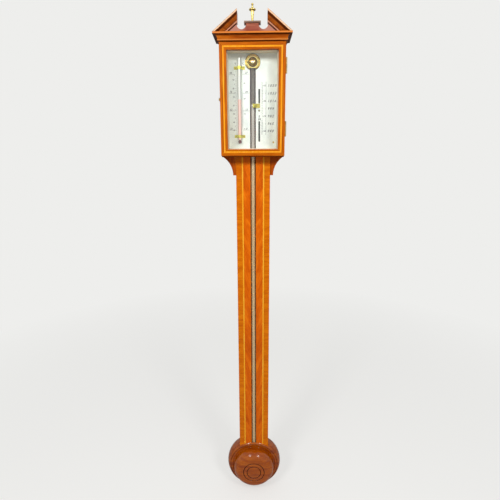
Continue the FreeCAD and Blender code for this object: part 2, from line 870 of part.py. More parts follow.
def catch():
    """Spring catch: a round-nosed plunger in the hood's edge that clicks into the door."""
    nose = V(catch_x, y_case - catch_projection, catch_z)
    body = rod(catch_radius, nose + BACK * catch_radius, nose + BACK * catch_plunger_length)
    plunger = joined([body, Part.makeSphere(catch_radius, nose + BACK * catch_radius)])
    write("catch_plunger", plunger)
    bottom = V(catch_x, y_case + catch_bore_depth, catch_z)
    tail = nose + BACK * catch_plunger_length
    outer = catch_radius - catch_spring_gap
    coil = rod(outer, tail, bottom).cut(rod(outer - catch_spring_wire, tail, bottom))
    write("catch_spring", coil)


def hinges():
    """Butt hinges: leaves with their share of the knuckles, pins and screws."""
    pitch = hinge_length / hinge_knuckles
    edge = hood_half - hinge_leaf_width
    flush = hinge_x - hinge_knuckle_radius - hinge_turning_gap
    case_leaves = []
    door_leaves = []
    pins = []
    for z in hinge_middles():
        z_low = z - hinge_length / 2.0
        faces = {0: (y_case, y_case + hinge_leaf_thickness),
                 1: (y_door_back - hinge_leaf_thickness, y_door_back)}
        leaf = {side: [box((edge, flush), faces[side], (z_low, z_low + hinge_length))] for side in faces}
        for index in range(hinge_knuckles):
            side = index % 2
            low = z_low + index * pitch + (hinge_end_gap / 2.0 if index else 0.0)
            high = z_low + (index + 1) * pitch
            high -= hinge_end_gap / 2.0 if index < hinge_knuckles - 1 else 0.0
            knuckle = rod(hinge_knuckle_radius, V(hinge_x, hinge_y, low), V(hinge_x, hinge_y, high))
            leaf[side].append(knuckle)
            leaf[side].append(box((flush - hinge_leaf_lap, hinge_x), faces[side], (low, high)))
        pin_low = V(hinge_x, hinge_y, z_low - hinge_pin_end)
        pin_high = V(hinge_x, hinge_y, z_low + hinge_length + hinge_pin_end)
        pins.append(rod(hinge_pin_radius, pin_low, pin_high))
        door_bore = rod(hinge_pin_radius + hinge_running_gap, pin_low, pin_high)
        case_leaves.append(joined(leaf[0]).cut(pins[-1]))
        door_leaves.append(joined(leaf[1]).cut(door_bore))
    door_screws = [screw(small_screw, point, BACK) for point in hinge_screw_points(y_door_back)]
    case_holes = [screw_blank(small_screw, point, FRONT) for point in hinge_screw_points(y_case)]
    door_holes = [screw_blank(small_screw, point, BACK) for point in hinge_screw_points(y_door_back)]
    write("hinge_case_leaves", *[leaf.cut(case_holes) for leaf in case_leaves])
    write("hinge_door_leaves", *[leaf.cut(door_holes) for leaf in door_leaves])
    write("hinge_pins", *pins)
    write("hinge_door_screws", *door_screws)


# Register plate, cap, thermometer and vernier
def register_plate():
    x = hood_inner - fitting_gap
    sheet = box((-x, x), (y_face, y_face + plate_thickness),
                (z_floor_top + fitting_gap, z_roof_bottom - fitting_gap))
    low = z_floor_top - past
    slot = joined([box((-slot_half, slot_half), (y_face - past, 0), (low, z_cap)),
                   rod(slot_half, V(0, y_face - past, z_cap), V(0, 0, z_cap))])
    slide_low, slide_high = vernier_slot_ends()
    half = vernier_slot_width / 2.0
    slide_slot = box((vernier_x - half, vernier_x + half), (y_face - past, 0), (slide_low, slide_high))
    write("register_plate", drilled(sheet.cut([slot, slide_slot])))


def tube_cap():
    """Turned brass cap that hides the closed end of the tube."""
    flange = cap_flange_height
    rim = cap_radius
    groove_outer = (cap_groove_radius + cap_groove_width / 2.0, flange)
    groove_inner = (cap_groove_radius - cap_groove_width / 2.0, flange)
    path = [(0, 0), (rim, 0), (rim, flange),
            bowed((rim, flange), (rim - cap_bead_width, flange), cap_bead_height),
            groove_outer, bowed(groove_outer, groove_inner, -cap_groove_depth),
            dome(groove_inner[0], flange, cap_height)]
    cap = turned(path, V(0, y_face, z_cap), FRONT, RIGHT)
    notch = box((-slot_half, slot_half), (y_face - cap_height - past, y_face + past),
                (z_cap - rim - past, z_cap - cap_notch_below_centre))
    write("tube_cap", drilled(cap.cut(notch)))
    write("register_pins", *[pin(point, FRONT) for point in pin_points()])


def thermometer():
    y = y_face - thermometer_bulb_radius - thermometer_plate_gap
    hollow_radius = thermometer_bulb_radius - thermometer_bulb_wall
    bulb = V(thermometer_x, y, -thermometer_bulb_below_hole)
    top = V(thermometer_x, y, thermometer_top_above_hole)
    crown = top + DOWN * thermometer_radius
    stem = [rod(thermometer_radius, bulb, crown), Part.makeSphere(thermometer_radius, crown),
            Part.makeSphere(thermometer_bulb_radius, bulb)]
    hollow = [rod(thermometer_bore, bulb, crown), Part.makeSphere(hollow_radius, bulb)]
    write("thermometer_glass", joined(stem).cut(joined(hollow)))
    thread = rod(thermometer_bore, bulb, V(thermometer_x, y, -spirit_top_below_hole))
    write("thermometer_spirit", joined([thread, Part.makeSphere(hollow_radius, bulb)]))

    inner = thermometer_radius + clip_play
    outer = inner + clip_thickness
    half = clip_width / 2.0
    clips = []
    for z in (-clip_top_below_hole, -clip_bottom_below_hole):
        z_low = z - clip_height / 2.0
        z_high = z + clip_height / 2.0
        axis_low = V(thermometer_x, y, z_low)
        axis_high = V(thermometer_x, y, z_high)
        block = box((thermometer_x - outer, thermometer_x + outer), (y, y_face), (z_low, z_high))
        foot = box((thermometer_x - half, thermometer_x + half), (y_face - clip_thickness, y_face),
                   (z_low, z_high))
        throat = box((thermometer_x - inner, thermometer_x + inner), (y, y_face + past), (z_low, z_high))
        arch = joined([rod(outer, axis_low, axis_high), block, foot])
        past_plate = box((thermometer_x - half, thermometer_x + half), (y_face, y_face + outer),
                         (z_low, z_high))
        clips.append(drilled(arch.cut([rod(inner, axis_low, axis_high), throat, past_plate])))
    write("thermometer_clips", *clips)


def vernier():
    """Sliding block with its knob, the white vernier plate, the pointer and the friction spring."""
    z_block = z_mercury - vernier_block_below_pointer
    half = vernier_slot_width / 2.0 - vernier_block_gap
    y_back = y_face - vernier_lift
    y_front = y_back - vernier_plate_thickness
    y_spring = y_core + vernier_lift
    half_block = vernier_block_height / 2.0
    stem = rod(vernier_stem_radius, V(vernier_x, y_spring + vernier_spring_thickness, z_block),
               V(vernier_x, y_front - vernier_knob_height / 2.0, z_block))
    block = box((vernier_x - half, vernier_x + half), (y_back, y_spring),
                (z_block - half_block, z_block + half_block))
    shoulder = vernier_knob_height - vernier_knob_round
    head_path = [(0, 0), (vernier_knob_radius, 0), (vernier_knob_radius, shoulder),
                 dome(vernier_knob_radius, shoulder, vernier_knob_height)]
    knob = turned(head_path, V(vernier_x, y_front, z_block), FRONT, RIGHT)
    write("vernier_slide", joined([block, stem, knob]))

    z_top = z_mercury + vernier_plate_above_pointer
    x_left = vernier_x - vernier_plate_left_of_slot
    plate = box((x_left, x_left + vernier_plate_width), (y_front, y_back),
                (z_top - vernier_plate_height, z_top))
    write("vernier_plate", plate.cut(stem))

    z_pointer = (z_mercury - pointer_height, z_mercury)
    bar = box((-pointer_reach_past_tube_axis, vernier_x + half), (y_front - pointer_thickness, y_front),
              z_pointer)
    lip = box((-pointer_reach_past_tube_axis, x_left), (y_front, y_back), z_pointer)
    write("vernier_pointer", joined([bar, lip]))

    spring_half = vernier_spring_width / 2.0
    spring_reach = vernier_spring_length / 2.0
    spring = box((vernier_x - spring_half, vernier_x + spring_half),
                 (y_spring, y_spring + vernier_spring_thickness),
                 (z_block - spring_reach, z_block + spring_reach))
    write("vernier_spring", spring.cut(stem))


# Tube, mercury and cistern
def barometer_tube():
    crown = V(0, y_tube, z_tube_top - tube_radius)
    end = V(0, y_tube, z_tube_end)
    outer = joined([rod(tube_radius, end, crown), Part.makeSphere(tube_radius, crown)])
    inner = joined([rod(bore_radius, end + DOWN, crown), Part.makeSphere(bore_radius, crown)])
    write("barometer_tube", outer.cut(inner))

    foot = z_level + mercury_foot_above_level
    radius = bore_radius - mercury_gap
    length = z_mercury - foot
    shoulder = length - meniscus_height
    path = [(0, 0), (radius, 0), (radius, shoulder), dome(radius, shoulder, length)]
    write("mercury_column", turned(path, V(0, y_tube, foot), UP, RIGHT))


def upright(low, high, radius):
    """A round bar on the axis of the tube."""
    return rod(radius, V(0, y_tube, low), V(0, y_tube, high))


def cistern():
    inner = cistern_radius - cistern_wall
    body = upright(z_cistern_bottom, z_cistern_top, cistern_radius)
    write("cistern_body", body.cut(upright(z_cistern_bottom - past, z_cistern_top + past, inner)))

    z_lid = z_cistern_top + cistern_lid_thickness
    lid = upright(z_cistern_top, z_lid, cistern_radius)
    seat = upright(z_lid - gland_height, z_lid + past, gland_radius)
    bore = upright(z_cistern_top - past, z_lid + past, tube_radius)
    write("cistern_lid", lid.cut([seat, bore]))
    write("tube_gland", upright(z_lid - gland_height, z_lid, gland_radius).cut(bore))

    pool = upright(z_cistern_bottom, z_level, inner)
    dipped = upright(z_tube_end, z_level + past, tube_radius)
    write("cistern_mercury", pool.cut(dipped))

    leather = upright(z_leather_bottom, z_cistern_bottom, cistern_radius)
    write("cistern_leather", leather)

    cap = upright(z_base_cap_bottom, z_leather_bottom, cistern_radius)
    well = upright(z_base_cap_bottom + base_cap_floor, z_leather_bottom + past, inner)
    thread = upright(z_base_cap_bottom - past, z_leather_bottom, transit_screw_radius + transit_thread_gap)
    write("cistern_base_cap", cap.cut([well, thread]))

    outer = cistern_radius + strap_thickness
    foot_end = strap_screw_points()[1].x + strap_foot / 2.0
    z_strap = (z_level - strap_height / 2.0, z_level + strap_height / 2.0)
    feet = box((-foot_end, foot_end), (y_face - strap_thickness, y_face), z_strap)
    band = joined([upright(z_strap[0], z_strap[1], outer), feet])
    behind = box((-foot_end - past, foot_end + past), (y_face, 0), z_strap)
    strap = band.cut([upright(z_strap[0] - past, z_strap[1] + past, cistern_radius), behind])
    write("cistern_strap", drilled(strap))


def transit_screw():
    """Pad under the leather, and the screw that lifts it."""
    z_pad_top = z_leather_bottom - transit_pad_gap
    z_pad_bottom = z_pad_top - transit_pad_thickness
    pad = upright(z_pad_bottom, z_pad_top, transit_pad_radius)
    neck = upright(z_pad_bottom - past, z_pad_bottom + transit_neck_length + transit_neck_gap,
                   transit_neck_radius + transit_neck_gap)
    write("transit_pad", pad.cut(neck))

    z_head = transit_head_bottom() + transit_head_height
    screw_top = z_pad_bottom - transit_neck_gap
    shank = upright(z_head, screw_top, transit_screw_radius)
    tip = upright(screw_top - past, z_pad_bottom + transit_neck_length, transit_neck_radius)
    head = upright(transit_head_bottom(), z_head, transit_head_radius)
    half_slot = transit_slot_width / 2.0
    slot = box((-transit_head_radius, transit_head_radius), (y_tube - half_slot, y_tube + half_slot),
               (transit_head_bottom() - past, transit_head_bottom() + transit_slot_depth))
    write("transit_screw", joined([shank, tip, head]).cut(slot))


def transit_head_bottom():
    """The screw's head ends just inside the underside of the cover."""
    return z_cover - cover_rim_edge_radius + transit_head_recess


def crown_point(radius, under=0.0):
    """A point of the dome's nearly flat front, or one that lies deeper."""
    return (radius, dome_front_depth - dome_front_slope * radius - under)


def cover_profile():
    """Outline of the turned cover: radius and projection from the wall."""
    ring = cover_ring_depth
    back = (cover_radius - cover_back_edge, 0)
    widest = (cover_radius, cover_widest_depth)
    front = (cover_rim_edge_radius, cover_rim_depth)
    step_radius = cover_rim_edge_radius - cover_step_width
    step = (step_radius, cover_rim_depth + cover_step_height)
    shoulder = (step_radius - cover_shoulder_width, ring)
    quirk = (shoulder[0] - cover_quirk_width / 2.0, ring - cover_quirk_depth)
    valley_radius = dome_radius + cover_valley_width
    valley = ring - cover_valley_depth
    path = [(0, 0), back, bowed(back, widest, cover_back_round), bowed(widest, front, cover_front_round),
            (step_radius, cover_rim_depth), step, bowed(step, shoulder, cover_shoulder_round),
            quirk, (shoulder[0] - cover_quirk_width, ring), (valley_radius + cover_valley_edge, ring),
            (valley_radius, valley), (dome_radius, valley)]

    corner_x = dome_radius - dome_corner_radius
    lean = math.atan(dome_front_slope)
    front_edge = crown_point(corner_x + dome_corner_radius * math.sin(lean))
    corner_depth = front_edge[1] - dome_corner_radius * math.cos(lean)
    half_turn = (math.pi / 2.0 - lean) / 2.0
    middle = (corner_x + dome_corner_radius * math.cos(half_turn),
              corner_depth + dome_corner_radius * math.sin(half_turn))
    path += [(dome_radius, corner_depth), (middle, front_edge)]
    for radius in (dome_groove_radius, dome_inner_groove_radius):
        path += [crown_point(radius + dome_groove_width / 2.0), crown_point(radius, dome_groove_depth),
                 crown_point(radius - dome_groove_width / 2.0)]
    centre_edge = path[-1]
    path.append(dome(centre_edge[0], centre_edge[1], dome_apex_depth))
    return path


def cistern_cover():
    """Turned mahogany cover: a moulded ring with a dome, notched for the trunk and hollowed."""
    blank = turned(cover_profile(), V(0, 0, z_cover), FRONT, RIGHT)
    cuts = []
    side = trunk_half + cover_pocket_gap
    low = z_trunk_bottom - cover_pocket_gap
    cuts.append(box((-side, side), (y_face, past), (low, z_cover + cover_radius + past)))
    cuts.append(cistern_cavity())
    strap_room = cistern_radius + strap_thickness + cistern_cavity_gap
    z_room = strap_height / 2.0 + cistern_cavity_gap
    foot_end = strap_screw_points()[1].x + strap_foot / 2.0 + cistern_cavity_gap
    cuts.append(upright(z_level - z_room, z_level + z_room, strap_room))
    cuts.append(box((-foot_end, foot_end), (y_face - strap_thickness - cistern_cavity_gap, y_face + past),
                    (z_level - z_room, z_level + z_room)))
    head_hole = upright(z_cover - cover_radius, z_trunk_bottom, transit_head_radius + transit_head_gap)
    cuts.append(head_hole)
    write("cistern_cover", drilled(blank.cut(cuts)))
    write("cover_screws", *[screw(cover_screw, point, BACK) for point in cover_screw_points()])


def hanging_plate():
    """Brass plate let into the back, with the hole that goes over a nail or hook."""
    sheet = box((-hanging_plate_half_width, hanging_plate_half_width), (-hanging_plate_thickness, 0),
                (-hanging_plate_bottom, hanging_plate_top))
    hole = rod(hanging_hole_radius, V(0, past, 0), V(0, -hanging_plate_thickness - past, 0))
    write("hanging_plate", drilled(sheet.cut(hole)))


def small_brass_screws():
    """One size of screw holds the hinges, the register plate, the strap and the hanging plate."""
    front = hinge_screw_points(y_case) + plate_screw_points() + strap_screw_points()
    screws = [screw(small_screw, point, FRONT) for point in front]
    screws += [screw(small_screw, point, BACK) for point in hanging_screw_points()]
    write("small_brass_screws", *screws)


trunk()
brackets()
hood()
cornice()
pediment()
finial()
door()
door_pull()
catch()
hinges()
register_plate()
tube_cap()
thermometer()
vernier()
barometer_tube()
cistern()
transit_screw()
cistern_cover()
hanging_plate()
small_brass_screws()

print("overall height", round(finial_base().z + finial_height - z_cover + cover_radius, 1))
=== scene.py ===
# %% [markdown]
# # A stick barometer
#
# A stick barometer is a narrow mahogany case that hangs on a wall. At its top a glazed hood covers a
# silvered plate with the scales, a glass tube of mercury runs down the front of the trunk, and a turned
# cover at the foot hides the cistern that the tube stands in. The solids come from a CAD model, in metres
# and already in place, so this script only gives them their finishes, adds the fine work that is too
# small for CAD, and lights them.

# %% The frame of solids
import math

import bmesh
import bpy
from mathutils import Matrix, Vector


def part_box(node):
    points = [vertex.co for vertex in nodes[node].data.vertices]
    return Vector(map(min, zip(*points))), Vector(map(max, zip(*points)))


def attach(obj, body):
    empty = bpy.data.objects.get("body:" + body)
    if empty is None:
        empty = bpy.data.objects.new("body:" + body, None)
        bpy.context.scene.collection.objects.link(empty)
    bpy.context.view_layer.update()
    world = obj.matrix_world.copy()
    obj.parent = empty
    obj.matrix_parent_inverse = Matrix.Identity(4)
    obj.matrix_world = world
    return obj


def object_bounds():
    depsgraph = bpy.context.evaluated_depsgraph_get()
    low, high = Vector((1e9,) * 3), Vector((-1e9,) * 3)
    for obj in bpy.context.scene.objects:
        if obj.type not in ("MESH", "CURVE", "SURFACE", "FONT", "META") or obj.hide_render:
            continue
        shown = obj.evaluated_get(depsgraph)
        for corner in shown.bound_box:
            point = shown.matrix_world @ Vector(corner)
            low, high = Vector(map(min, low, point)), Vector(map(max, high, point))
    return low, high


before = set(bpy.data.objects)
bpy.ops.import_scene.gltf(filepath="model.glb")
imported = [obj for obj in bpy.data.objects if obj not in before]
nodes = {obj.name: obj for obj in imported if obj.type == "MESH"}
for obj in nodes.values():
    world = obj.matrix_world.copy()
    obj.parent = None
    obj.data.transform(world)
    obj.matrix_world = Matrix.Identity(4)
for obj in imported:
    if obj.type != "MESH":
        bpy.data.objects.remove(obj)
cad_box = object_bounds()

mm = 0.001
print(len(nodes), "solids from the frame, box in metres:", cad_box)

# %% [markdown]
# ## Small helpers
#
# Colours are picked as sRGB hex values, the numbers a paint program shows, but the renderer counts in
# linear light, so one function turns the one into the other. A second one adds a node to a material, sets
# it and links it in a single line, which keeps each material short enough to read like a recipe.

# %% Colour and node helpers
srgb_knee = 0.04045


def linear(hex_colour):
    """sRGB hex text to a linear RGBA colour."""
    values = [int(hex_colour[start:start + 2], 16) / 255 for start in (1, 3, 5)]
    light = [v / 12.92 if v <= srgb_knee else ((v + 0.055) / 1.055) ** 2.4 for v in values]
    return (*light, 1.0)


def add(tree, kind, inputs=None, stops=(), **settings):
    """Adds one node: settings are its properties, inputs are socket values or links, and stops are the
    positions and hex colours of a colour ramp."""
    node = tree.nodes.new(kind)
    for name, value in settings.items():
        setattr(node, name, value)
    for name, value in (inputs or {}).items():
        if isinstance(value, bpy.types.NodeSocket):
            tree.links.new(value, node.inputs[name])
        else:
            node.inputs[name].default_value = value
    if stops:
        elements = node.color_ramp.elements
        while len(elements) < len(stops):
            elements.new(0.5)
        for element, (position, colour) in zip(elements, stops):
            element.position = position
            element.color = linear(colour)
    return node


def new_finish(name):
    """An empty material, its node tree and its shader."""
    finish = bpy.data.materials.new(name)
    finish.use_nodes = True
    tree = finish.node_tree
    tree.nodes.clear()
    shader = add(tree, "ShaderNodeBsdfPrincipled")
    add(tree, "ShaderNodeOutputMaterial", {"Surface": shader.outputs["BSDF"]})
    return finish, tree, shader


print("mid grey #808080 is", round(linear("#808080")[0], 3), "in linear light")

# %% [markdown]
# ## The camera
#
# The photograph was taken from close by and a little above the middle, looking down at the barometer, so
# the trunk narrows towards the floor. The camera's place and tilt were found by fitting known points of
# the object, such as the inch marks and the corners of the door, to where they appear in the picture.

# %% Camera
picture_side = 500
focal_in_pixels = 390.207
sensor_width = 36.0
pitch_down = math.radians(14.650)
turn_left = math.radians(-1.2422)
roll = math.radians(-0.3068)
camera_place = Vector((9.464, -760.987, -148.420)) * mm

ahead = Vector((math.sin(turn_left) * math.cos(pitch_down), math.cos(turn_left) * math.cos(pitch_down),
                -math.sin(pitch_down)))
level_right = Vector((math.cos(turn_left), -math.sin(turn_left), 0.0))
level_up = level_right.cross(ahead)
right = level_right * math.cos(roll) + level_up * math.sin(roll)
up = level_up * math.cos(roll) - level_right * math.sin(roll)

lens = bpy.data.cameras.new("camera")
lens.sensor_width = sensor_width
lens.lens = focal_in_pixels * sensor_width / picture_side
camera = bpy.data.objects.new("camera", lens)
bpy.context.scene.collection.objects.link(camera)
turned = Matrix((right, up, -ahead)).transposed().to_4x4()
camera.matrix_world = Matrix.Translation(camera_place) @ turned
bpy.context.scene.camera = camera
bpy.context.scene.view_settings.view_transform = "Standard"
print("lens of", round(lens.lens, 1), "mm, camera", round(-camera_place.y, 3), "m in front of the wall")

# %% [markdown]
# ## The studio
#
# Two soft boxes stand left and right in front of the case, higher than the hood. They give the shade
# under the door's top rail, the shade of the hood on the trunk, and the pairs of window-shaped lights on
# the domed cover. Two weaker lamps stand above them, and the rest is even light from all round. The
# background is pale only for the eye, for polish and for glass, so it doesn't put more light on the wood.
# Far away the floor turns into that same pale tone, so no horizon shows.

# %% Background
even_light = 0.34
background_colour = linear("#eeeeec")

world = bpy.data.worlds.new("studio")
bpy.context.scene.world = world
world.use_nodes = True
tree = world.node_tree
tree.nodes.clear()
seen = add(tree, "ShaderNodeLightPath")
camera_or_gloss = add(tree, "ShaderNodeMath",
                      {0: seen.outputs["Is Camera Ray"], 1: seen.outputs["Is Glossy Ray"]},
                      operation="MAXIMUM")
seen_directly = add(tree, "ShaderNodeMath",
                    {0: camera_or_gloss.outputs[0], 1: seen.outputs["Is Transmission Ray"]},
                    operation="MAXIMUM")
soft = add(tree, "ShaderNodeBackground", {"Color": (1, 1, 1, 1), "Strength": even_light})
pale = add(tree, "ShaderNodeBackground", {"Color": background_colour, "Strength": 1.0})
sky = add(tree, "ShaderNodeMixShader",
          {0: seen_directly.outputs[0], 1: soft.outputs[0], 2: pale.outputs[0]})
add(tree, "ShaderNodeOutputWorld", {"Surface": sky.outputs[0]})
print("even light from all round at strength", even_light)

# %% Floor
floor_colour = linear("#dcdbd8")
floor_reach = 6.0
floor_gap = 0.5 * mm
floor_glow = 0.42
fade_start = 0.45
fade_end = 1.6


def linked(name, data):
    """A new object in the scene."""
    made = bpy.data.objects.new(name, data)
    bpy.context.scene.collection.objects.link(made)
    return made


finish, tree, shader = new_finish("pale_floor_paint")
shader.inputs["Base Color"].default_value = floor_colour
shader.inputs["Roughness"].default_value = 0.9
shader.inputs["Specular IOR Level"].default_value = 0.1
seen = add(tree, "ShaderNodeLightPath")
glow = add(tree, "ShaderNodeEmission", {"Color": background_colour, "Strength": floor_glow})
dark = add(tree, "ShaderNodeEmission", {"Color": (0, 0, 0, 1), "Strength": 0.0})
lit = add(tree, "ShaderNodeMixShader",
          {0: seen.outputs["Is Camera Ray"], 1: dark.outputs[0], 2: glow.outputs[0]})
both = add(tree, "ShaderNodeAddShader", {0: shader.outputs[0], 1: lit.outputs[0]})
coords = add(tree, "ShaderNodeTexCoord").outputs["Object"]
away = add(tree, "ShaderNodeVectorMath", {0: coords}, operation="LENGTH").outputs["Value"]
haze = add(tree, "ShaderNodeMapRange",
           {"Value": away, "From Min": fade_start, "From Max": fade_end}).outputs[0]
haze_seen = add(tree, "ShaderNodeMath", {0: haze, 1: seen.outputs["Is Camera Ray"]}, operation="MULTIPLY")
far = add(tree, "ShaderNodeEmission", {"Color": background_colour, "Strength": 1.0})
whole = add(tree, "ShaderNodeMixShader", {0: haze_seen.outputs[0], 1: both.outputs[0], 2: far.outputs[0]})
tree.links.new(whole.outputs[0], tree.nodes["Material Output"].inputs["Surface"])

floor_mesh = bpy.data.meshes.new("floor")
floor_height = cad_box[0][2] - floor_gap
corners = [(-floor_reach, -floor_reach), (floor_reach, -floor_reach), (floor_reach, floor_reach),
           (-floor_reach, floor_reach)]
floor_mesh.from_pydata([(x, y, floor_height) for x, y in corners], [], [(0, 1, 2, 3)])
floor_mesh.materials.append(finish)
floor = linked("floor", floor_mesh)
print("floor at", round(floor_height, 4), "m, fading out", fade_end, "m away")

# %% Lamps
lamp_aim = Vector((0.0, 0.0, -0.30))
lamps = {
    "soft_box_left": ((-0.50, -0.95, 0.30), 0.26, 0.20, 5.6),
    "soft_box_right": ((0.54, -0.95, 0.29), 0.26, 0.20, 5.1),
    "top_light_left": ((-0.60, -0.70, 0.85), 0.32, 0.10, 1.0),
    "top_light_right": ((0.66, -0.70, 0.80), 0.32, 0.10, 1.0),
}
for name, (place, width, height, watts) in lamps.items():
    lamp = bpy.data.lights.new(name, "AREA")
    lamp.shape = "RECTANGLE"
    lamp.size = width
    lamp.size_y = height
    lamp.energy = watts
    stand = linked(name, lamp)
    stand.location = place
    stand.rotation_euler = (lamp_aim - Vector(place)).to_track_quat("-Z", "Y").to_euler()
print(len(lamps), "lamps, all aimed at", tuple(lamp_aim))

# %% [markdown]
# ## Mahogany
#
# Mahogany shows three things at once: broad bands where light and dark growth lie side by side, fine
# streaks along the grain, and short dark pores. One recipe makes all of them from noise that is stretched
# along the grain, with sizes given in millimetres. The grain of a board runs along its length, so the
# recipe takes the way it lies. Real pores are about half as wide as the ones drawn here, and wouldn't
# show. French polish makes the surface smooth and warm. Along the rounded edges the colour is painted
# paler, a painted highlight.
#
# Strips of colour that follow the shape and not the grain are drawn from named places. Most are painted
# light and shade: the lit edges and shaded hollows of the mouldings, the groove behind the tube, the rings
# of the turned cover and the cap over the tube, and a painted reflection in the mercury. The silvering on
# the screws is drawn the same way. So each place that they are measured from gets a name first: an axis,
# a point or a slope, in millimetres.

# %% Places on the object
rake_rise = 32.8
rake_run = 40.4
rake_angle = math.atan2(rake_rise, rake_run)
rake_tip = 65.0 * mm
cornice_top = 33.6 * mm
hood_underside = -164.0
tube_y = -21.3
slot_x = 11.3
channel_y = -21.5
thermometer_x = -23.3
thermometer_y = -29.7
bulb_z = -137.7
cap_z = -5.0
cover_z = -841.0
lower_right_screw = (36.8, -26.0, -138.7)

round_upright = (1, 1, 0)
round_forward = (1, 0, 1)
round_point = (1, 1, 1)
sideways = (1, 0, 0)
channel_section = (1, 2.2, 0)
no_end = -2000.0
centres = {
    "tube": ((0, tube_y, 0), round_upright, no_end),
    "tube_in_hood": ((0, tube_y, 0), round_upright, hood_underside),
    "channel": ((slot_x, channel_y, 0), channel_section, hood_underside),
    "cover": ((0, 0, cover_z), round_forward, no_end),
    "cap": ((0, 0, cap_z), round_forward, no_end),
    "lower_right_screw": (lower_right_screw, round_point, no_end),
    "bulb": ((thermometer_x, thermometer_y, bulb_z), round_point, no_end),
    "stem": ((thermometer_x, 0, 0), sideways, no_end),
}
print(len(centres), "centres for accents; the rake rises at", round(math.degrees(rake_angle), 1), "degrees")

# %% Texture space and distances
upright = (0, 0, 0)
along_x = (0, 90, 0)
along_y = (90, 0, 0)


def stretched(tree, coords, size, lie):
    """Texture space whose unit is one grain feature: size in mm, turned to the way the grain lies."""
    return add(tree, "ShaderNodeMapping",
               {"Vector": coords, "Rotation": [math.radians(angle) for angle in lie],
                "Scale": [length * mm for length in size]}, vector_type="TEXTURE").outputs[0]


def mottled(tree, coords, size, stops, detail=2.0):
    """Cloudy colour between its stops, with clouds of a size in mm. Gives the colour and the pattern."""
    space = stretched(tree, coords, size, upright)
    clouds = add(tree, "ShaderNodeTexNoise", {"Vector": space, "Scale": 1.0, "Detail": detail}).outputs["Fac"]
    return add(tree, "ShaderNodeValToRGB", {"Fac": clouds}, stops=stops).outputs["Color"], clouds


def distance(tree, coords, kind):
    """How far a point lies from a named place of the object, in metres."""
    parts = add(tree, "ShaderNodeSeparateXYZ", {0: coords}).outputs
    side = add(tree, "ShaderNodeMath", {0: parts["X"]}, operation="ABSOLUTE").outputs[0]
    if kind == "height":
        return parts["Z"]
    if kind == "side":
        return side
    if kind == "rake":
        drop = add(tree, "ShaderNodeMath", {0: parts["Z"], 1: -cornice_top}, operation="ADD").outputs[0]
        inward = add(tree, "ShaderNodeMath", {0: rake_tip, 1: side}, operation="SUBTRACT").outputs[0]
        lean = add(tree, "ShaderNodeMath", {0: inward, 1: math.sin(rake_angle)}, operation="MULTIPLY")
        down = add(tree, "ShaderNodeMath", {0: drop, 1: math.cos(rake_angle)}, operation="MULTIPLY")
        return add(tree, "ShaderNodeMath", {0: lean.outputs[0], 1: down.outputs[0]},
                   operation="SUBTRACT").outputs[0]
    centre, weights, lowest = centres[kind]
    middle = [c * mm for c in centre]
    apart = add(tree, "ShaderNodeVectorMath", {0: coords, 1: middle}, operation="SUBTRACT")
    apart = add(tree, "ShaderNodeVectorMath", {0: apart.outputs[0], 1: weights}, operation="MULTIPLY")
    apart = add(tree, "ShaderNodeVectorMath", {0: apart.outputs[0]}, operation="LENGTH").outputs["Value"]
    below = add(tree, "ShaderNodeMath", {0: lowest * mm, 1: parts["Z"]}, operation="SUBTRACT").outputs[0]
    below = add(tree, "ShaderNodeMath", {0: below, 1: 0.0}, operation="MAXIMUM").outputs[0]
    return add(tree, "ShaderNodeMath", {0: apart, 1: below}, operation="ADD").outputs[0]


def accented(tree, coords, colour, accents):
    """Colour with strips of others: an accent is a kind of distance, low, high, softness and colour."""
    for kind, low, high, soft, tint in accents:
        there = distance(tree, coords, kind)
        above = add(tree, "ShaderNodeMapRange", {"Value": there, "From Min": (low - soft) * mm,
                                                 "From Max": (low + soft) * mm}).outputs[0]
        below = add(tree, "ShaderNodeMapRange", {"Value": there, "From Min": (high + soft) * mm,
                                                 "From Max": (high - soft) * mm}).outputs[0]
        strip = add(tree, "ShaderNodeMath", {0: above, 1: below}, operation="MULTIPLY").outputs[0]
        colour = add(tree, "ShaderNodeMix", {"Factor": strip, "A": colour, "B": linear(tint)},
                     data_type="RGBA").outputs[2]
    return colour


print("accents can follow:", ["height", "side", "rake", *centres])

# %% Wood recipe
fibre_relief = 0.03 * mm
edge_round = 0.6 * mm
pore_size = (0.28, 0.28, 4.0)
streak_share = 0.42
tone_positions = (0.34, 0.50, 0.64)
pore_start = 0.60
pore_full = 0.72
edge_start = 0.99
edge_full = 0.82
smoother = 0.05
rougher = 0.07


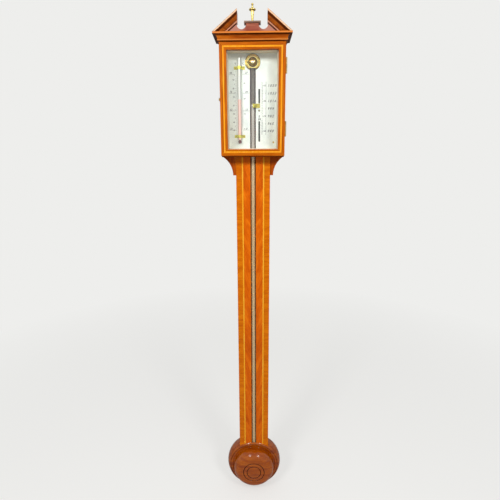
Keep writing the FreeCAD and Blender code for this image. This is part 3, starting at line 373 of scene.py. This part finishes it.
def wood(name, dark, middle, light, lie=upright, bands=(9, 9, 60), streaks=(1.3, 1.3, 26), polish=0.30,
         gloss=0.1, pores=0.45, edge_highlight=0.35, matched=False, accents=()):
    """Polished wood. Sizes in mm; lie in degrees; matched mirrors the figure about the middle line."""
    finish, tree, shader = new_finish(name)
    coords = add(tree, "ShaderNodeTexCoord").outputs["Object"]
    if matched:
        parts = add(tree, "ShaderNodeSeparateXYZ", {0: coords}).outputs
        folded = add(tree, "ShaderNodeMath", {0: parts["X"]}, operation="ABSOLUTE").outputs[0]
        coords = add(tree, "ShaderNodeCombineXYZ",
                     {"X": folded, "Y": parts["Y"], "Z": parts["Z"]}).outputs[0]
    broad = add(tree, "ShaderNodeTexNoise", {"Vector": stretched(tree, coords, bands, lie), "Scale": 1.0,
                                             "Detail": 2.0, "Distortion": 0.7}).outputs["Fac"]
    fine = add(tree, "ShaderNodeTexNoise", {"Vector": stretched(tree, coords, streaks, lie), "Scale": 1.0,
                                            "Detail": 4.0, "Roughness": 0.6}).outputs["Fac"]
    grain = add(tree, "ShaderNodeMix", {"Factor": streak_share, "A": broad, "B": fine}).outputs["Result"]
    tones = list(zip(tone_positions, (dark, middle, light)))
    colour = add(tree, "ShaderNodeValToRGB", {"Fac": grain}, stops=tones).outputs["Color"]

    pore_space = stretched(tree, coords, pore_size, lie)
    dashes = add(tree, "ShaderNodeTexNoise",
                 {"Vector": pore_space, "Scale": 1.0, "Detail": 1.0}).outputs["Fac"]
    pore = add(tree, "ShaderNodeMapRange", {"Value": dashes, "From Min": pore_start, "From Max": pore_full,
                                            "To Max": pores}).outputs[0]
    colour = add(tree, "ShaderNodeMix", {"Factor": pore, "A": colour, "B": linear(dark)},
                 data_type="RGBA").outputs[2]

    # Along the rounding of each edge the colour is painted paler: a painted highlight.
    eased = add(tree, "ShaderNodeBevel", {"Radius": edge_round}, samples=4).outputs[0]
    flat = add(tree, "ShaderNodeNewGeometry").outputs["Normal"]
    bend = add(tree, "ShaderNodeVectorMath", {0: eased, 1: flat}, operation="DOT_PRODUCT").outputs["Value"]
    edge = add(tree, "ShaderNodeMapRange", {"Value": bend, "From Min": edge_start, "From Max": edge_full,
                                            "To Max": edge_highlight}).outputs[0]
    colour = add(tree, "ShaderNodeMix", {"Factor": edge, "A": colour, "B": linear(light)},
                 data_type="RGBA").outputs[2]

    colour = accented(tree, coords, colour, accents)

    height = add(tree, "ShaderNodeMath", {0: fine, 1: pore}, operation="SUBTRACT").outputs[0]
    relief = add(tree, "ShaderNodeBump", {"Height": height, "Strength": 0.5, "Distance": fibre_relief,
                                          "Normal": eased}).outputs[0]
    sheen = add(tree, "ShaderNodeMapRange", {"Value": fine, "To Min": polish - smoother,
                                             "To Max": polish + rougher})
    for socket, value in {"Base Color": colour, "Roughness": sheen.outputs[0], "Normal": relief}.items():
        tree.links.new(value, shader.inputs[socket])
    shader.inputs["Specular IOR Level"].default_value = gloss
    return finish


print("wood recipe ready; pores", pore_size[0], "mm wide and", pore_size[2], "mm long")

# %% [markdown]
# ## One tree, many cuts
#
# Each member is cut from mahogany with its own tone and its own lie of the grain. The accents are strips
# of colour: what they are measured from, where they start and end, how soft the ends are, and the colour.
# They carry painted light and shade: the lit fillets and beads and the shaded coves of the mouldings, the
# shade line under the raking cornices, light and shade in the groove behind the tube and in the vernier's
# channel, and shade in the turned rings of the cover. The tympanum and the cornice returns are toned darker
# as painted shade.

# %% Mahogany for each member
rake_slope = math.degrees(rake_angle)
# Painted light and shade on the raking cornices: a lit top fillet, a shaded cove, a shade line and a lit
# lowest bead.
rake_painted_light_and_shade = [("rake", 0.3, 2.4, 0.25, "#edc39c"), ("rake", 2.8, 5.2, 0.5, "#5e2a08"),
                ("rake", 10.4, 11.2, 0.3, "#5e2a08"), ("rake", 11.5, 13.4, 0.3, "#e6a682")]
# Painted light and shade on the front cornice: a lit top fillet, a shade line under it and a lit lower bead.
cornice_painted_light_and_shade = [("height", 31.2, 33.2, 0.3, "#dc8238"), ("height", 29.7, 30.9, 0.3, "#4c2004"),
                   ("height", 22.0, 24.0, 0.3, "#d9863c")]
# Painted light on the tympanum's outer parts, and a painted shade line under the raking cornices.
tympanum_painted_light_and_shade = [("side", 15.0, 60.0, 6.0, "#b8806e"), ("rake", 13.0, 14.8, 0.4, "#2e1008")]
# Painted light in the groove behind the tube down the trunk, painted shade in that groove inside the hood and
# in the vernier's channel.
groove_painted_light_and_shade = [("tube", -1.0, 5.3, 0.1, "#b08c60"), ("tube_in_hood", -1.0, 5.3, 0.1, "#7e8494"),
                  ("channel", -1.0, 4.8, 0.1, "#343d39")]
# Painted shade in the turned grooves and quirks of the cover.
cover_painted_ring_shade = [("cover", 51.8, 53.0, 0.4, "#6a2c06"), ("cover", 21.9, 23.5, 0.35, "#541f03"),
                 ("cover", 14.2, 15.8, 0.35, "#541f03")]
finishes = {
    "carcase_upright": wood("mahogany_carcase_upright", "#6e2a04", "#a04a0a", "#bc6214"),
    "carcase_across": wood("mahogany_carcase_across", "#6e2a04", "#a04a0a", "#bc6214", along_x),
    "trunk_core": wood("mahogany_trunk_core", "#6e2a04", "#a04a0a", "#bc6214", accents=groove_painted_light_and_shade),
    "field": wood("mahogany_veneer_figured", "#c85200", "#e26603", "#f27c0c", (0, 16, 0),
                  bands=(11, 11, 34), streaks=(1.8, 1.8, 18), matched=True),
    "crossbanding": wood("mahogany_crossbanding", "#cc6200", "#dc7200", "#ea8208", along_x,
                         bands=(7, 7, 26), streaks=(1.5, 1.5, 12), pores=0.25),
    "bracket": wood("mahogany_bracket", "#983c00", "#b85002", "#e08024", edge_highlight=0.7),
    "door_upright": wood("mahogany_door_stile", "#9c4600", "#be5c00", "#dc7c08", bands=(5, 5, 60),
                         edge_highlight=0.8),
    "door_across": wood("mahogany_door_rail", "#9c4600", "#be5c00", "#dc7c08", along_x, bands=(5, 5, 60),
                        edge_highlight=0.8),
    "cornice_across": wood("mahogany_cornice", "#963c02", "#bc5a06", "#d8781a", along_x,
                           accents=cornice_painted_light_and_shade),
    # The cornice returns are toned very dark: painted shade.
    "cornice_return": wood("mahogany_cornice_return_painted_shade", "#3c1804", "#5a280a", "#7a3a12", along_y, polish=0.6),
    "plinth": wood("mahogany_plinth_cap", "#6a5240", "#8a7060", "#a48c7c", along_x),
    "rake_right": wood("mahogany_rake_right", "#7c3404", "#a04c0c", "#b8641a", (0, 90 - rake_slope, 0),
                       accents=rake_painted_light_and_shade),
    "rake_left": wood("mahogany_rake_left", "#7c3404", "#a04c0c", "#b8641a", (0, rake_slope - 90, 0),
                      accents=rake_painted_light_and_shade),
    # The tympanum's tone is kept darker than the other cuts: painted shade under the raking cornices.
    "tympanum": wood("mahogany_tympanum", "#7a3424", "#985040", "#ae6850", along_x,
                     accents=tympanum_painted_light_and_shade),
    "cover": wood("mahogany_turned_cover", "#8a3600", "#a84e00", "#bc6002", along_x, bands=(9, 14, 60),
                  polish=0.13, gloss=0.38, pores=0.2, edge_highlight=0.1, accents=cover_painted_ring_shade),
}
print(len(finishes), "cuts of mahogany")

# %% [markdown]
# ## Boxwood, paint and leather
#
# Boxwood is a hard, pale yellow wood with hardly any figure. It makes the thin inlaid lines and the
# turned cistern. The slips round the recess are painted cream, and the parts that keep the mercury in are
# leather.

# %% Boxwood, cream paint and leather
finishes["door_line"] = wood("boxwood_door_inlay", "#f09414", "#ffa620", "#ffb434", bands=(3, 3, 40),
                             streaks=(0.6, 0.6, 14), pores=0.1)
finishes["line"] = wood("boxwood_inlay", "#fca41e", "#ffb42c", "#ffc040", bands=(3, 3, 40),
                        streaks=(0.6, 0.6, 14), pores=0.1)
finishes["boxwood"] = wood("boxwood_turned", "#c99b50", "#dcb468", "#e8c684", bands=(5, 5, 50),
                           streaks=(0.8, 0.8, 20), pores=0.1, polish=0.42)
paint_grain = 0.9
brush_stroke = 12

finish, tree, shader = new_finish("cream_oil_paint")
coords = add(tree, "ShaderNodeTexCoord").outputs["Object"]
tone, brush = mottled(tree, coords, (paint_grain, paint_grain, brush_stroke),
                      [(0.3, "#dccfb2"), (0.7, "#efe4c8")], detail=3.0)
tree.links.new(tone, shader.inputs["Base Color"])
relief = add(tree, "ShaderNodeBump", {"Height": brush, "Strength": 0.4, "Distance": fibre_relief})
tree.links.new(relief.outputs[0], shader.inputs["Normal"])
shader.inputs["Roughness"].default_value = 0.55
finishes["cream"] = finish

hide_grain = 0.8
finish, tree, shader = new_finish("chamois_leather")
coords = add(tree, "ShaderNodeTexCoord").outputs["Object"]
pebble = add(tree, "ShaderNodeTexVoronoi", {"Vector": stretched(tree, coords, (hide_grain,) * 3, upright),
                                            "Scale": 1.0}).outputs["Distance"]
tone = add(tree, "ShaderNodeValToRGB", {"Fac": pebble}, stops=[(0.1, "#8f6f45"), (0.8, "#c2a273")])
tree.links.new(tone.outputs["Color"], shader.inputs["Base Color"])
relief = add(tree, "ShaderNodeBump", {"Height": pebble, "Strength": 0.6, "Distance": 2 * fibre_relief})
tree.links.new(relief.outputs[0], shader.inputs["Normal"])
shader.inputs["Roughness"].default_value = 0.8
finishes["leather"] = finish
print(len(finishes), "finishes so far, the last one", finish.name)

# %% [markdown]
# ## Brass, silvered brass and steel
#
# Metal has no colour of its own but that of its reflections, so its base colour tints what it mirrors.
# Lathe work leaves fine rings, sheet leaves straight brushing, and lacquer that has aged makes faint
# brown clouds. The register plate is brass silvered by rubbing: a matt, nearly white skin, brushed up and
# down. The brushing is drawn several times coarser than the real one, which is too fine to show.

# %% Metal recipe
brushing_relief = 0.004 * mm
roughness_swing = 0.06


def metal(name, dark, light, roughness, brushing=(0.25, 0.25, 6.0), lie=upright, metallic=1.0, cloud=7.0,
          accents=()):
    """Brushed or turned metal with clouds of tarnish. Sizes in mm."""
    finish, tree, shader = new_finish(name)
    coords = add(tree, "ShaderNodeTexCoord").outputs["Object"]
    lines = add(tree, "ShaderNodeTexNoise", {"Vector": stretched(tree, coords, brushing, lie), "Scale": 1.0,
                                             "Detail": 2.0}).outputs["Fac"]
    tarnish, _ = mottled(tree, coords, (cloud,) * 3, [(0.32, dark), (0.56, light)], detail=4.0)
    tone = accented(tree, coords, tarnish, accents)
    tree.links.new(tone, shader.inputs["Base Color"])
    spread = add(tree, "ShaderNodeMapRange", {"Value": lines, "To Min": roughness - roughness_swing,
                                              "To Max": roughness + roughness_swing}).outputs[0]
    tree.links.new(spread, shader.inputs["Roughness"])
    relief = add(tree, "ShaderNodeBump", {"Height": lines, "Strength": 0.5, "Distance": brushing_relief})
    tree.links.new(relief.outputs[0], shader.inputs["Normal"])
    shader.inputs["Metallic"].default_value = metallic
    return finish


print("metal recipe ready; brushing relief", brushing_relief / mm, "mm")

# %% Brass, steel and the silvered plate
# Painted on the cap over the tube: a shaded outer edge, two lit rings, a shaded groove and a highlight at the
# middle.
cap_painted_highlights_and_shade = [("cap", 12.4, 14.0, 0.3, "#7c6828"), ("cap", 10.2, 12.1, 0.4, "#dcc678"),
               ("cap", 8.2, 9.7, 0.4, "#f2e298"), ("cap", 6.5, 7.8, 0.4, "#4c3c10"),
               ("cap", -1.0, 2.6, 1.2, "#fbf0c8")]
screw_accents = [("side", -1.0, 42.0, 0.2, "#dfe4de"), ("lower_right_screw", -1.0, 4.0, 0.2, "#b89a3c")]
finishes["turned_brass"] = metal("brass_turned_lacquered", "#b89c50", "#dcc880", 0.34, (6.0, 6.0, 0.25))
finishes["cap_brass"] = metal("brass_cap_lacquered", "#a8862c", "#ccac48", 0.20, (6.0, 0.25, 6.0),
                              accents=cap_painted_highlights_and_shade)
finishes["sheet_brass"] = metal("brass_sheet_brushed", "#b5a04a", "#e0d080", 0.32)
finishes["clip_brass"] = metal("brass_clip", "#8e8834", "#c2ba54", 0.50)
finishes["pointer_brass"] = metal("brass_pointer", "#7e7632", "#aea248", 0.40)
finishes["slide_brass"] = metal("brass_slide_dull", "#6e6a50", "#9a9474", 0.40)
finishes["hinge_brass"] = metal("brass_hinge_dull", "#8a7450", "#c0a470", 0.42)
# The register pins are near black.
finishes["near_black_brass"] = metal("brass_near_black", "#2a2410", "#4a3e1a", 0.38)
finishes["screw_brass"] = metal("brass_screw", "#a08434", "#c4a850", 0.34, accents=screw_accents)
finishes["steel"] = metal("steel_blued", "#4a4c50", "#74777c", 0.30)
finishes["silvered"] = metal("brass_silvered_matt", "#dbe2dc", "#e9eee6", 0.50, (0.35, 0.35, 9.0),
                             metallic=0.2, cloud=22.0)
print("metals:", [finish.name for name, finish in finishes.items() if "brass" in finish.name])

# %% [markdown]
# ## Glass, mercury and spirit
#
# The glass is clear soda glass. Light from a lamp is followed straight through it, because a bent shadow
# ray never finds the lamp and what stands behind the pane would go dark. The old tube also has a thin
# film of dust. Mercury is a mirror, but behind that film it looks dull, so it is made only partly
# metallic: then the lamps light it straight through the glass. Below the hood it is painted a pale cream,
# a painted reflection. The thermometer's stem is thick lead glass with white enamel at its back. It works
# as a lens, and what the lens shows is painted on the glass: below the top of the red spirit the pink of
# the thread fills its whole width, above it the stem is white, and its edges carry painted grey shade.

# %% Clear glass
soda_glass_ior = 1.47


def glass(name, tint, roughness=0.0):
    """Clear glass that lets lamplight through in a straight line."""
    finish, tree, shader = new_finish(name)
    shader.inputs["Base Color"].default_value = linear(tint)
    shader.inputs["Transmission Weight"].default_value = 1.0
    shader.inputs["Roughness"].default_value = roughness
    shader.inputs["IOR"].default_value = soda_glass_ior
    seen = add(tree, "ShaderNodeLightPath")
    soft_ray = add(tree, "ShaderNodeMath",
                   {0: seen.outputs["Is Shadow Ray"], 1: seen.outputs["Is Diffuse Ray"]},
                   operation="MAXIMUM").outputs[0]
    clear = add(tree, "ShaderNodeBsdfTransparent")
    mixed = add(tree, "ShaderNodeMixShader", {0: soft_ray, 1: shader.outputs[0], 2: clear.outputs[0]})
    tree.links.new(mixed.outputs[0], tree.nodes["Material Output"].inputs["Surface"])
    return finish


finishes["pane"] = glass("soda_glass_pane", "#fbfdfc")

dust_share = 0.10
dust_cloud = (3, 3, 30)
finish = glass("soda_glass_tube_old", "#f2f6f4")
tree = finish.node_tree
coords = add(tree, "ShaderNodeTexCoord").outputs["Object"]
dust_tone, _ = mottled(tree, coords, dust_cloud, [(0.3, "#a89078"), (0.7, "#c8b49c")])
dust = add(tree, "ShaderNodeBsdfDiffuse", {"Color": dust_tone})
clear_part = tree.nodes["Material Output"].inputs["Surface"].links[0].from_socket
old_glass = add(tree, "ShaderNodeMixShader", {0: dust_share, 1: clear_part, 2: dust.outputs[0]})
tree.links.new(old_glass.outputs[0], tree.nodes["Material Output"].inputs["Surface"])
finishes["tube"] = finish
print("glass bends light by an index of", soda_glass_ior)

# %% Thermometer stem
spirit_top = -66.4
bulb_window = 0.94
window_inner = 4.4
window_outer = 5.2
stem_core = 1.5
stem_edge = 2.7
finish, tree, shader = new_finish("lead_glass_enamel_backed")
coords = add(tree, "ShaderNodeTexCoord").outputs["Object"]
# What the stem's lens shows is painted: grey shade towards the edges, and pink over the whole width below the
# spirit's top.
painted_edge_shade = add(tree, "ShaderNodeMapRange", {"Value": distance(tree, coords, "stem"), "From Min": stem_core * mm,
                                       "From Max": stem_edge * mm}).outputs[0]
empty = add(tree, "ShaderNodeValToRGB", {"Fac": painted_edge_shade}, stops=[(0.2, "#f4f7f2"), (0.9, "#8e9894")])
filled = add(tree, "ShaderNodeValToRGB", {"Fac": painted_edge_shade}, stops=[(0.2, "#ffd6cc"), (0.9, "#b89088")])
height = add(tree, "ShaderNodeMapRange", {"Value": distance(tree, coords, "height"),
                                          "From Min": (spirit_top + 1) * mm, "From Max": spirit_top * mm})
stem = add(tree, "ShaderNodeMix", {"Factor": height.outputs[0], "A": empty.outputs["Color"],
                                   "B": filled.outputs["Color"]}, data_type="RGBA")
tree.links.new(stem.outputs[2], shader.inputs["Base Color"])
shader.inputs["Roughness"].default_value = 0.12
window = add(tree, "ShaderNodeMapRange",
             {"Value": distance(tree, coords, "bulb"), "From Min": window_outer * mm,
              "From Max": window_inner * mm, "To Max": bulb_window}).outputs[0]
clear = add(tree, "ShaderNodeBsdfTransparent")
mixed = add(tree, "ShaderNodeMixShader", {0: window, 1: shader.outputs[0], 2: clear.outputs[0]})
tree.links.new(mixed.outputs[0], tree.nodes["Material Output"].inputs["Surface"])
finishes["thermometer_tube"] = finish
print("spirit stands at", spirit_top, "mm in the stem")

# %% Mercury and spirit
mercury_foot = -900.0
mercury_cloud = (3, 3, 40)
spirit_cloud = (4, 4, 4)
finish, tree, shader = new_finish("mercury_in_glass")
shader.inputs["Metallic"].default_value = 0.3
shader.inputs["Roughness"].default_value = 0.28
coords = add(tree, "ShaderNodeTexCoord").outputs["Object"]
dull, _ = mottled(tree, coords, mercury_cloud, [(0.3, "#c4c0bc"), (0.7, "#dcd8d4")])
# Below the hood the mercury is painted a pale cream: a painted reflection.
painted_trunk_reflection = accented(tree, coords, dull, [("height", mercury_foot, hood_underside, 3.0, "#ffe0a8")])
tree.links.new(painted_trunk_reflection, shader.inputs["Base Color"])
finishes["mercury"] = finish

finish, tree, shader = new_finish("dyed_spirit")
coords = add(tree, "ShaderNodeTexCoord").outputs["Object"]
depth, _ = mottled(tree, coords, spirit_cloud, [(0.3, "#4a1c24"), (0.7, "#64303a")])
tree.links.new(depth, shader.inputs["Base Color"])
shader.inputs["Roughness"].default_value = 0.15
finishes["spirit"] = finish
print(len(finishes), "finishes so far")

# %% [markdown]
# ## Dressing the solids
#
# Each solid gets the finish that its real piece has, some with painted light and shade in them, and the
# grain the way the board was cut: upright in the stiles and sides, across in rails and floors, along the
# slope in the raking cornices.

# %% Finishes for the solids
dressing = {
    "trunk_core": ["trunk_core"],
    "carcase_upright": ["hood_side_left", "hood_side_right", "hood_back_cheeks"],
    "carcase_across": ["hood_floor", "hood_roof", "cornice_board", "door_glass_beads"],
    "field": ["trunk_field_veneers"],
    "crossbanding": ["trunk_crossbanding"],
    "line": ["trunk_stringing"],
    "door_line": ["door_stringing"],
    "bracket": ["bracket_left", "bracket_right"],
    "cream": ["recess_slips"],
    "cornice_across": ["cornice_front"],
    "plinth": ["plinth_cap"],
    "cornice_return": ["cornice_return_left", "cornice_return_right"],
    "rake_left": ["raking_cornice_left"],
    "rake_right": ["raking_cornice_right"],
    "tympanum": ["tympanum"],
    "door_upright": ["door_stile_left", "door_stile_right"],
    "door_across": ["door_rail_top", "door_rail_bottom"],
    "cover": ["cistern_cover"],
    "boxwood": ["cistern_body", "cistern_lid", "cistern_base_cap", "transit_pad"],
    "leather": ["cistern_leather", "tube_gland"],
    "turned_brass": ["finial", "door_pull", "transit_screw", "catch_plunger"],
    "cap_brass": ["tube_cap"],
    "clip_brass": ["thermometer_clips"],
    "slide_brass": ["vernier_slide"],
    "pointer_brass": ["vernier_pointer"],
    "sheet_brass": ["vernier_spring", "cistern_strap", "hanging_plate"],
    "hinge_brass": ["hinge_case_leaves", "hinge_door_leaves", "hinge_pins", "hinge_door_screws"],
    "screw_brass": ["small_brass_screws"],
    "near_black_brass": ["register_pins"],
    "steel": ["catch_spring", "cover_screws"],
    "silvered": ["register_plate", "vernier_plate"],
    "pane": ["door_glass"],
    "tube": ["barometer_tube"],
    "thermometer_tube": ["thermometer_glass"],
    "mercury": ["mercury_column", "cistern_mercury"],
    "spirit": ["thermometer_spirit"],
}
dressed = 0
for finish_name, names in dressing.items():
    for name in names:
        for slot in nodes[name].material_slots:
            slot.material = finishes[finish_name]
        dressed += 1
bare = set(nodes) - {name for names in dressing.values() for name in names}
print(dressed, "solids dressed, left bare:", sorted(bare))

# %% [markdown]
# ## Engraving on the register plate
#
# The scales are cut into the plate and filled with black wax. At this size a cut of wax reads the same as
# a thin line that stands a few hundredths of a millimetre proud, and that is far simpler to make: every
# line is a small closed bar, and the lines of one scale share a mesh.

# %% Black wax
wax_cloud = (3, 3, 3)
finish, tree, shader = new_finish("black_engraving_wax")
coords = add(tree, "ShaderNodeTexCoord").outputs["Object"]
fade, _ = mottled(tree, coords, wax_cloud, [(0.35, "#1e2220"), (0.65, "#3c413e")])
tree.links.new(fade, shader.inputs["Base Color"])
shader.inputs["Roughness"].default_value = 0.6
finishes["wax"] = finish
print(len(finishes), "finishes, wax among them")

# %% Bars and numbers of wax
wax_proud = 0.04 * mm
wax_depth = 0.10 * mm
line_width = 0.46
fine_line = 0.42
stroke_swell = 0.06
face_of_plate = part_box("register_plate")[0].y
face_of_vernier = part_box("vernier_plate")[0].y


def bar(mesh, x_low, x_high, z_low, z_high, face):
    """A flat closed bar of wax in a plate; x and z in mm, face in metres."""
    made = bmesh.ops.create_cube(mesh, size=1.0)["verts"]
    size = Vector(((x_high - x_low) * mm, wax_proud + wax_depth, (z_high - z_low) * mm))
    middle = Vector(((x_high + x_low) / 2 * mm, face + (wax_depth - wax_proud) / 2,
                     (z_high + z_low) / 2 * mm))
    bmesh.ops.transform(mesh, matrix=Matrix.Translation(middle) @ Matrix.Diagonal((*size, 1.0)), verts=made)


def number(mesh, text, height, x, z, face, align="CENTER", slope=0.0, spread=1.0, swell=stroke_swell):
    """A number cut in a plate; height and place in mm."""
    letters = bpy.data.curves.new("number", "FONT")
    letters.body = text
    letters.size = height * mm
    letters.shear = slope
    letters.space_character = spread
    letters.offset = swell * mm
    letters.align_x = align
    letters.align_y = "CENTER"
    letters.resolution_u = 2
    letters.extrude = (wax_proud + wax_depth) / 2
    holder = linked("number", letters)
    bpy.context.view_layer.update()
    flat = bpy.data.meshes.new_from_object(holder)
    stand_up = Matrix.Rotation(math.radians(90), 4, "X")
    middle = Vector((x * mm, face + (wax_depth - wax_proud) / 2, z * mm))
    flat.transform(Matrix.Translation(middle) @ stand_up)
    mesh.from_mesh(flat)
    bpy.data.objects.remove(holder)
    bpy.data.meshes.remove(flat)


def piece(name, mesh, body, finish_name):
    """Turns a bmesh into a finished piece that rides on a body."""
    data = bpy.data.meshes.new(name)
    mesh.to_mesh(data)
    mesh.free()
    data.materials.append(finishes[finish_name])
    made = linked(name, data)
    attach(made, body)
    return made


print("engraving lines are", line_width, "mm wide")

# %% [markdown]
# ## The inch scale
#
# The scale runs from 28 to 31 inches of mercury between two upright lines. Tenths have short ticks,
# halves and whole inches longer ones. Beside each half inch stands the same pressure in millibars, in
# sloping numbers.

# %% Inch scale
z_thirty = -68.5
inch = 25.4
inches_below = 2.25
inches_above = 1.25
millibars_per_inch = 33.864
scale_left = 16.2
scale_right = 23.2
inch_number_x = 20.9
inch_number_height = 3.6
inch_number_lift = 0.2
lowest_inch = 28
highest_inch = 31
millibar_x = 25.6
millibar_height = 6.0
millibar_spread = 1.35
italic = 0.35
tenth_tick = 1.3
half_tick = 2.4
inch_tick = 3.0

marks = bmesh.new()
z_low = z_thirty - inches_below * inch
z_high = z_thirty + inches_above * inch
for x in (scale_left, scale_right):
    bar(marks, x - line_width / 2, x + line_width / 2, z_low, z_high, face_of_plate)
for tenth in range(-20, 11):
    z = z_thirty + tenth * inch / 10
    low = z - line_width / 2
    high = z + line_width / 2
    reach = inch_tick if tenth % 10 == 0 else half_tick if tenth % 5 == 0 else tenth_tick
    bar(marks, scale_left, scale_left + reach, low, high, face_of_plate)
    if tenth % 5 == 0:
        bar(marks, scale_right - tenth_tick, scale_right, low, high, face_of_plate)
for inches in range(lowest_inch, highest_inch + 1):
    z = z_thirty + (inches - 30) * inch + inch_number_lift
    number(marks, str(inches), inch_number_height, inch_number_x, z, face_of_plate)
for half_inches in range(2 * lowest_inch, 2 * highest_inch + 1):
    z = z_thirty + (half_inches / 2 - 30) * inch
    millibars = str(round(half_inches / 2 * millibars_per_inch))
    number(marks, millibars, millibar_height, millibar_x, z, face_of_plate, "LEFT", italic, millibar_spread)
piece("inch_scale", marks, "case", "wax")
print("inch scale from", round(z_low, 1), "to", round(z_high, 1), "mm")

# %% [markdown]
# ## The thermometer's scales
#
# Fahrenheit stands on the left of the stem and Celsius on the right. Both start from freezing point, so
# one length for a degree places every mark of either scale.

# %% Thermometer scales
freezing = 32
fahrenheit_per_celsius = 1.8
z_freezing = -115.0
per_degree = 1.41
tick_left = -29.0
tick_right = -17.6
long_tick = 1.8
short_tick = 1.1
tens_x = -33.8
tens_height = 3.2
fives_x = -31.6
fives_height = 2.8
celsius_x = -14.6
side_left_x = -39.0
side_right_x = -11.6
side_height = 4.2
rule_left = -41.6
rule_right = -6.6
rule_gap = 2.2
rule_drop = 2.0
unit_left = -30.6
unit_right = -17.0
unit_height = 4.4
unit_z = -7.4

marks = bmesh.new()
for degrees in range(24, 102, 2):
    z = z_freezing + (degrees - freezing) * per_degree
    reach = long_tick if degrees % 10 == 0 else short_tick
    bar(marks, tick_left - reach, tick_left, z - fine_line / 2, z + fine_line / 2, face_of_plate)
for degrees in range(30, 100, 10):
    z = z_freezing + (degrees - freezing) * per_degree
    number(marks, str(degrees), tens_height, tens_x, z, face_of_plate)
    number(marks, "5", fives_height, fives_x, z + 5 * per_degree, face_of_plate)
for celsius in range(0, 31, 10):
    z = z_freezing + celsius * fahrenheit_per_celsius * per_degree
    number(marks, str(celsius), tens_height, celsius_x, z, face_of_plate)
for degrees in (32, 55, 76, 98):
    z = z_freezing + (degrees - freezing) * per_degree
    celsius = str(round((degrees - freezing) / fahrenheit_per_celsius))
    number(marks, str(degrees), side_height, side_left_x, z, face_of_plate, "CENTER", italic)
    number(marks, celsius, side_height, side_right_x, z, face_of_plate, "CENTER", italic)
    rule_low = z - rule_drop - fine_line / 2
    rule_high = z - rule_drop + fine_line / 2
    bar(marks, rule_left, tick_left - rule_gap, rule_low, rule_high, face_of_plate)
    bar(marks, tick_right, rule_right, rule_low, rule_high, face_of_plate)
for unit, x in (("°F", unit_left), ("°C", unit_right)):
    number(marks, unit, unit_height, x, unit_z, face_of_plate)
piece("thermometer_scales", marks, "case", "wax")
print("thermometer scale: freezing at", z_freezing, "mm,", per_degree, "mm a degree")

# %% [markdown]
# ## The vernier
#
# Ten divisions of the vernier are as long as eleven tenths of an inch. The one that meets a mark of the
# inch scale gives the hundredths. The marks ride on the vernier's body, so that they slide along with it.

# %% Vernier divisions
z_mercury = -72.8
vernier_step = 0.11
vernier_right = 16.9
vernier_number_x = 11.4
vernier_number_height = 5.0
vernier_number_swell = 0.22
vernier_long = 2.2
vernier_short = 1.3
marks = bmesh.new()
for step in range(0, 11):
    z = z_mercury - step * inch * vernier_step
    reach = vernier_long if step % 5 == 0 else vernier_short
    bar(marks, vernier_right - reach, vernier_right, z - fine_line / 2, z + fine_line / 2, face_of_vernier)
for text, z in (("5", -94.4), ("10", -99.2)):
    number(marks, text, vernier_number_height, vernier_number_x, z, face_of_vernier,
           swell=vernier_number_swell)
piece("vernier_divisions", marks, "vernier", "wax")
print("vernier: 10 divisions of", round(inch * vernier_step, 2), "mm")
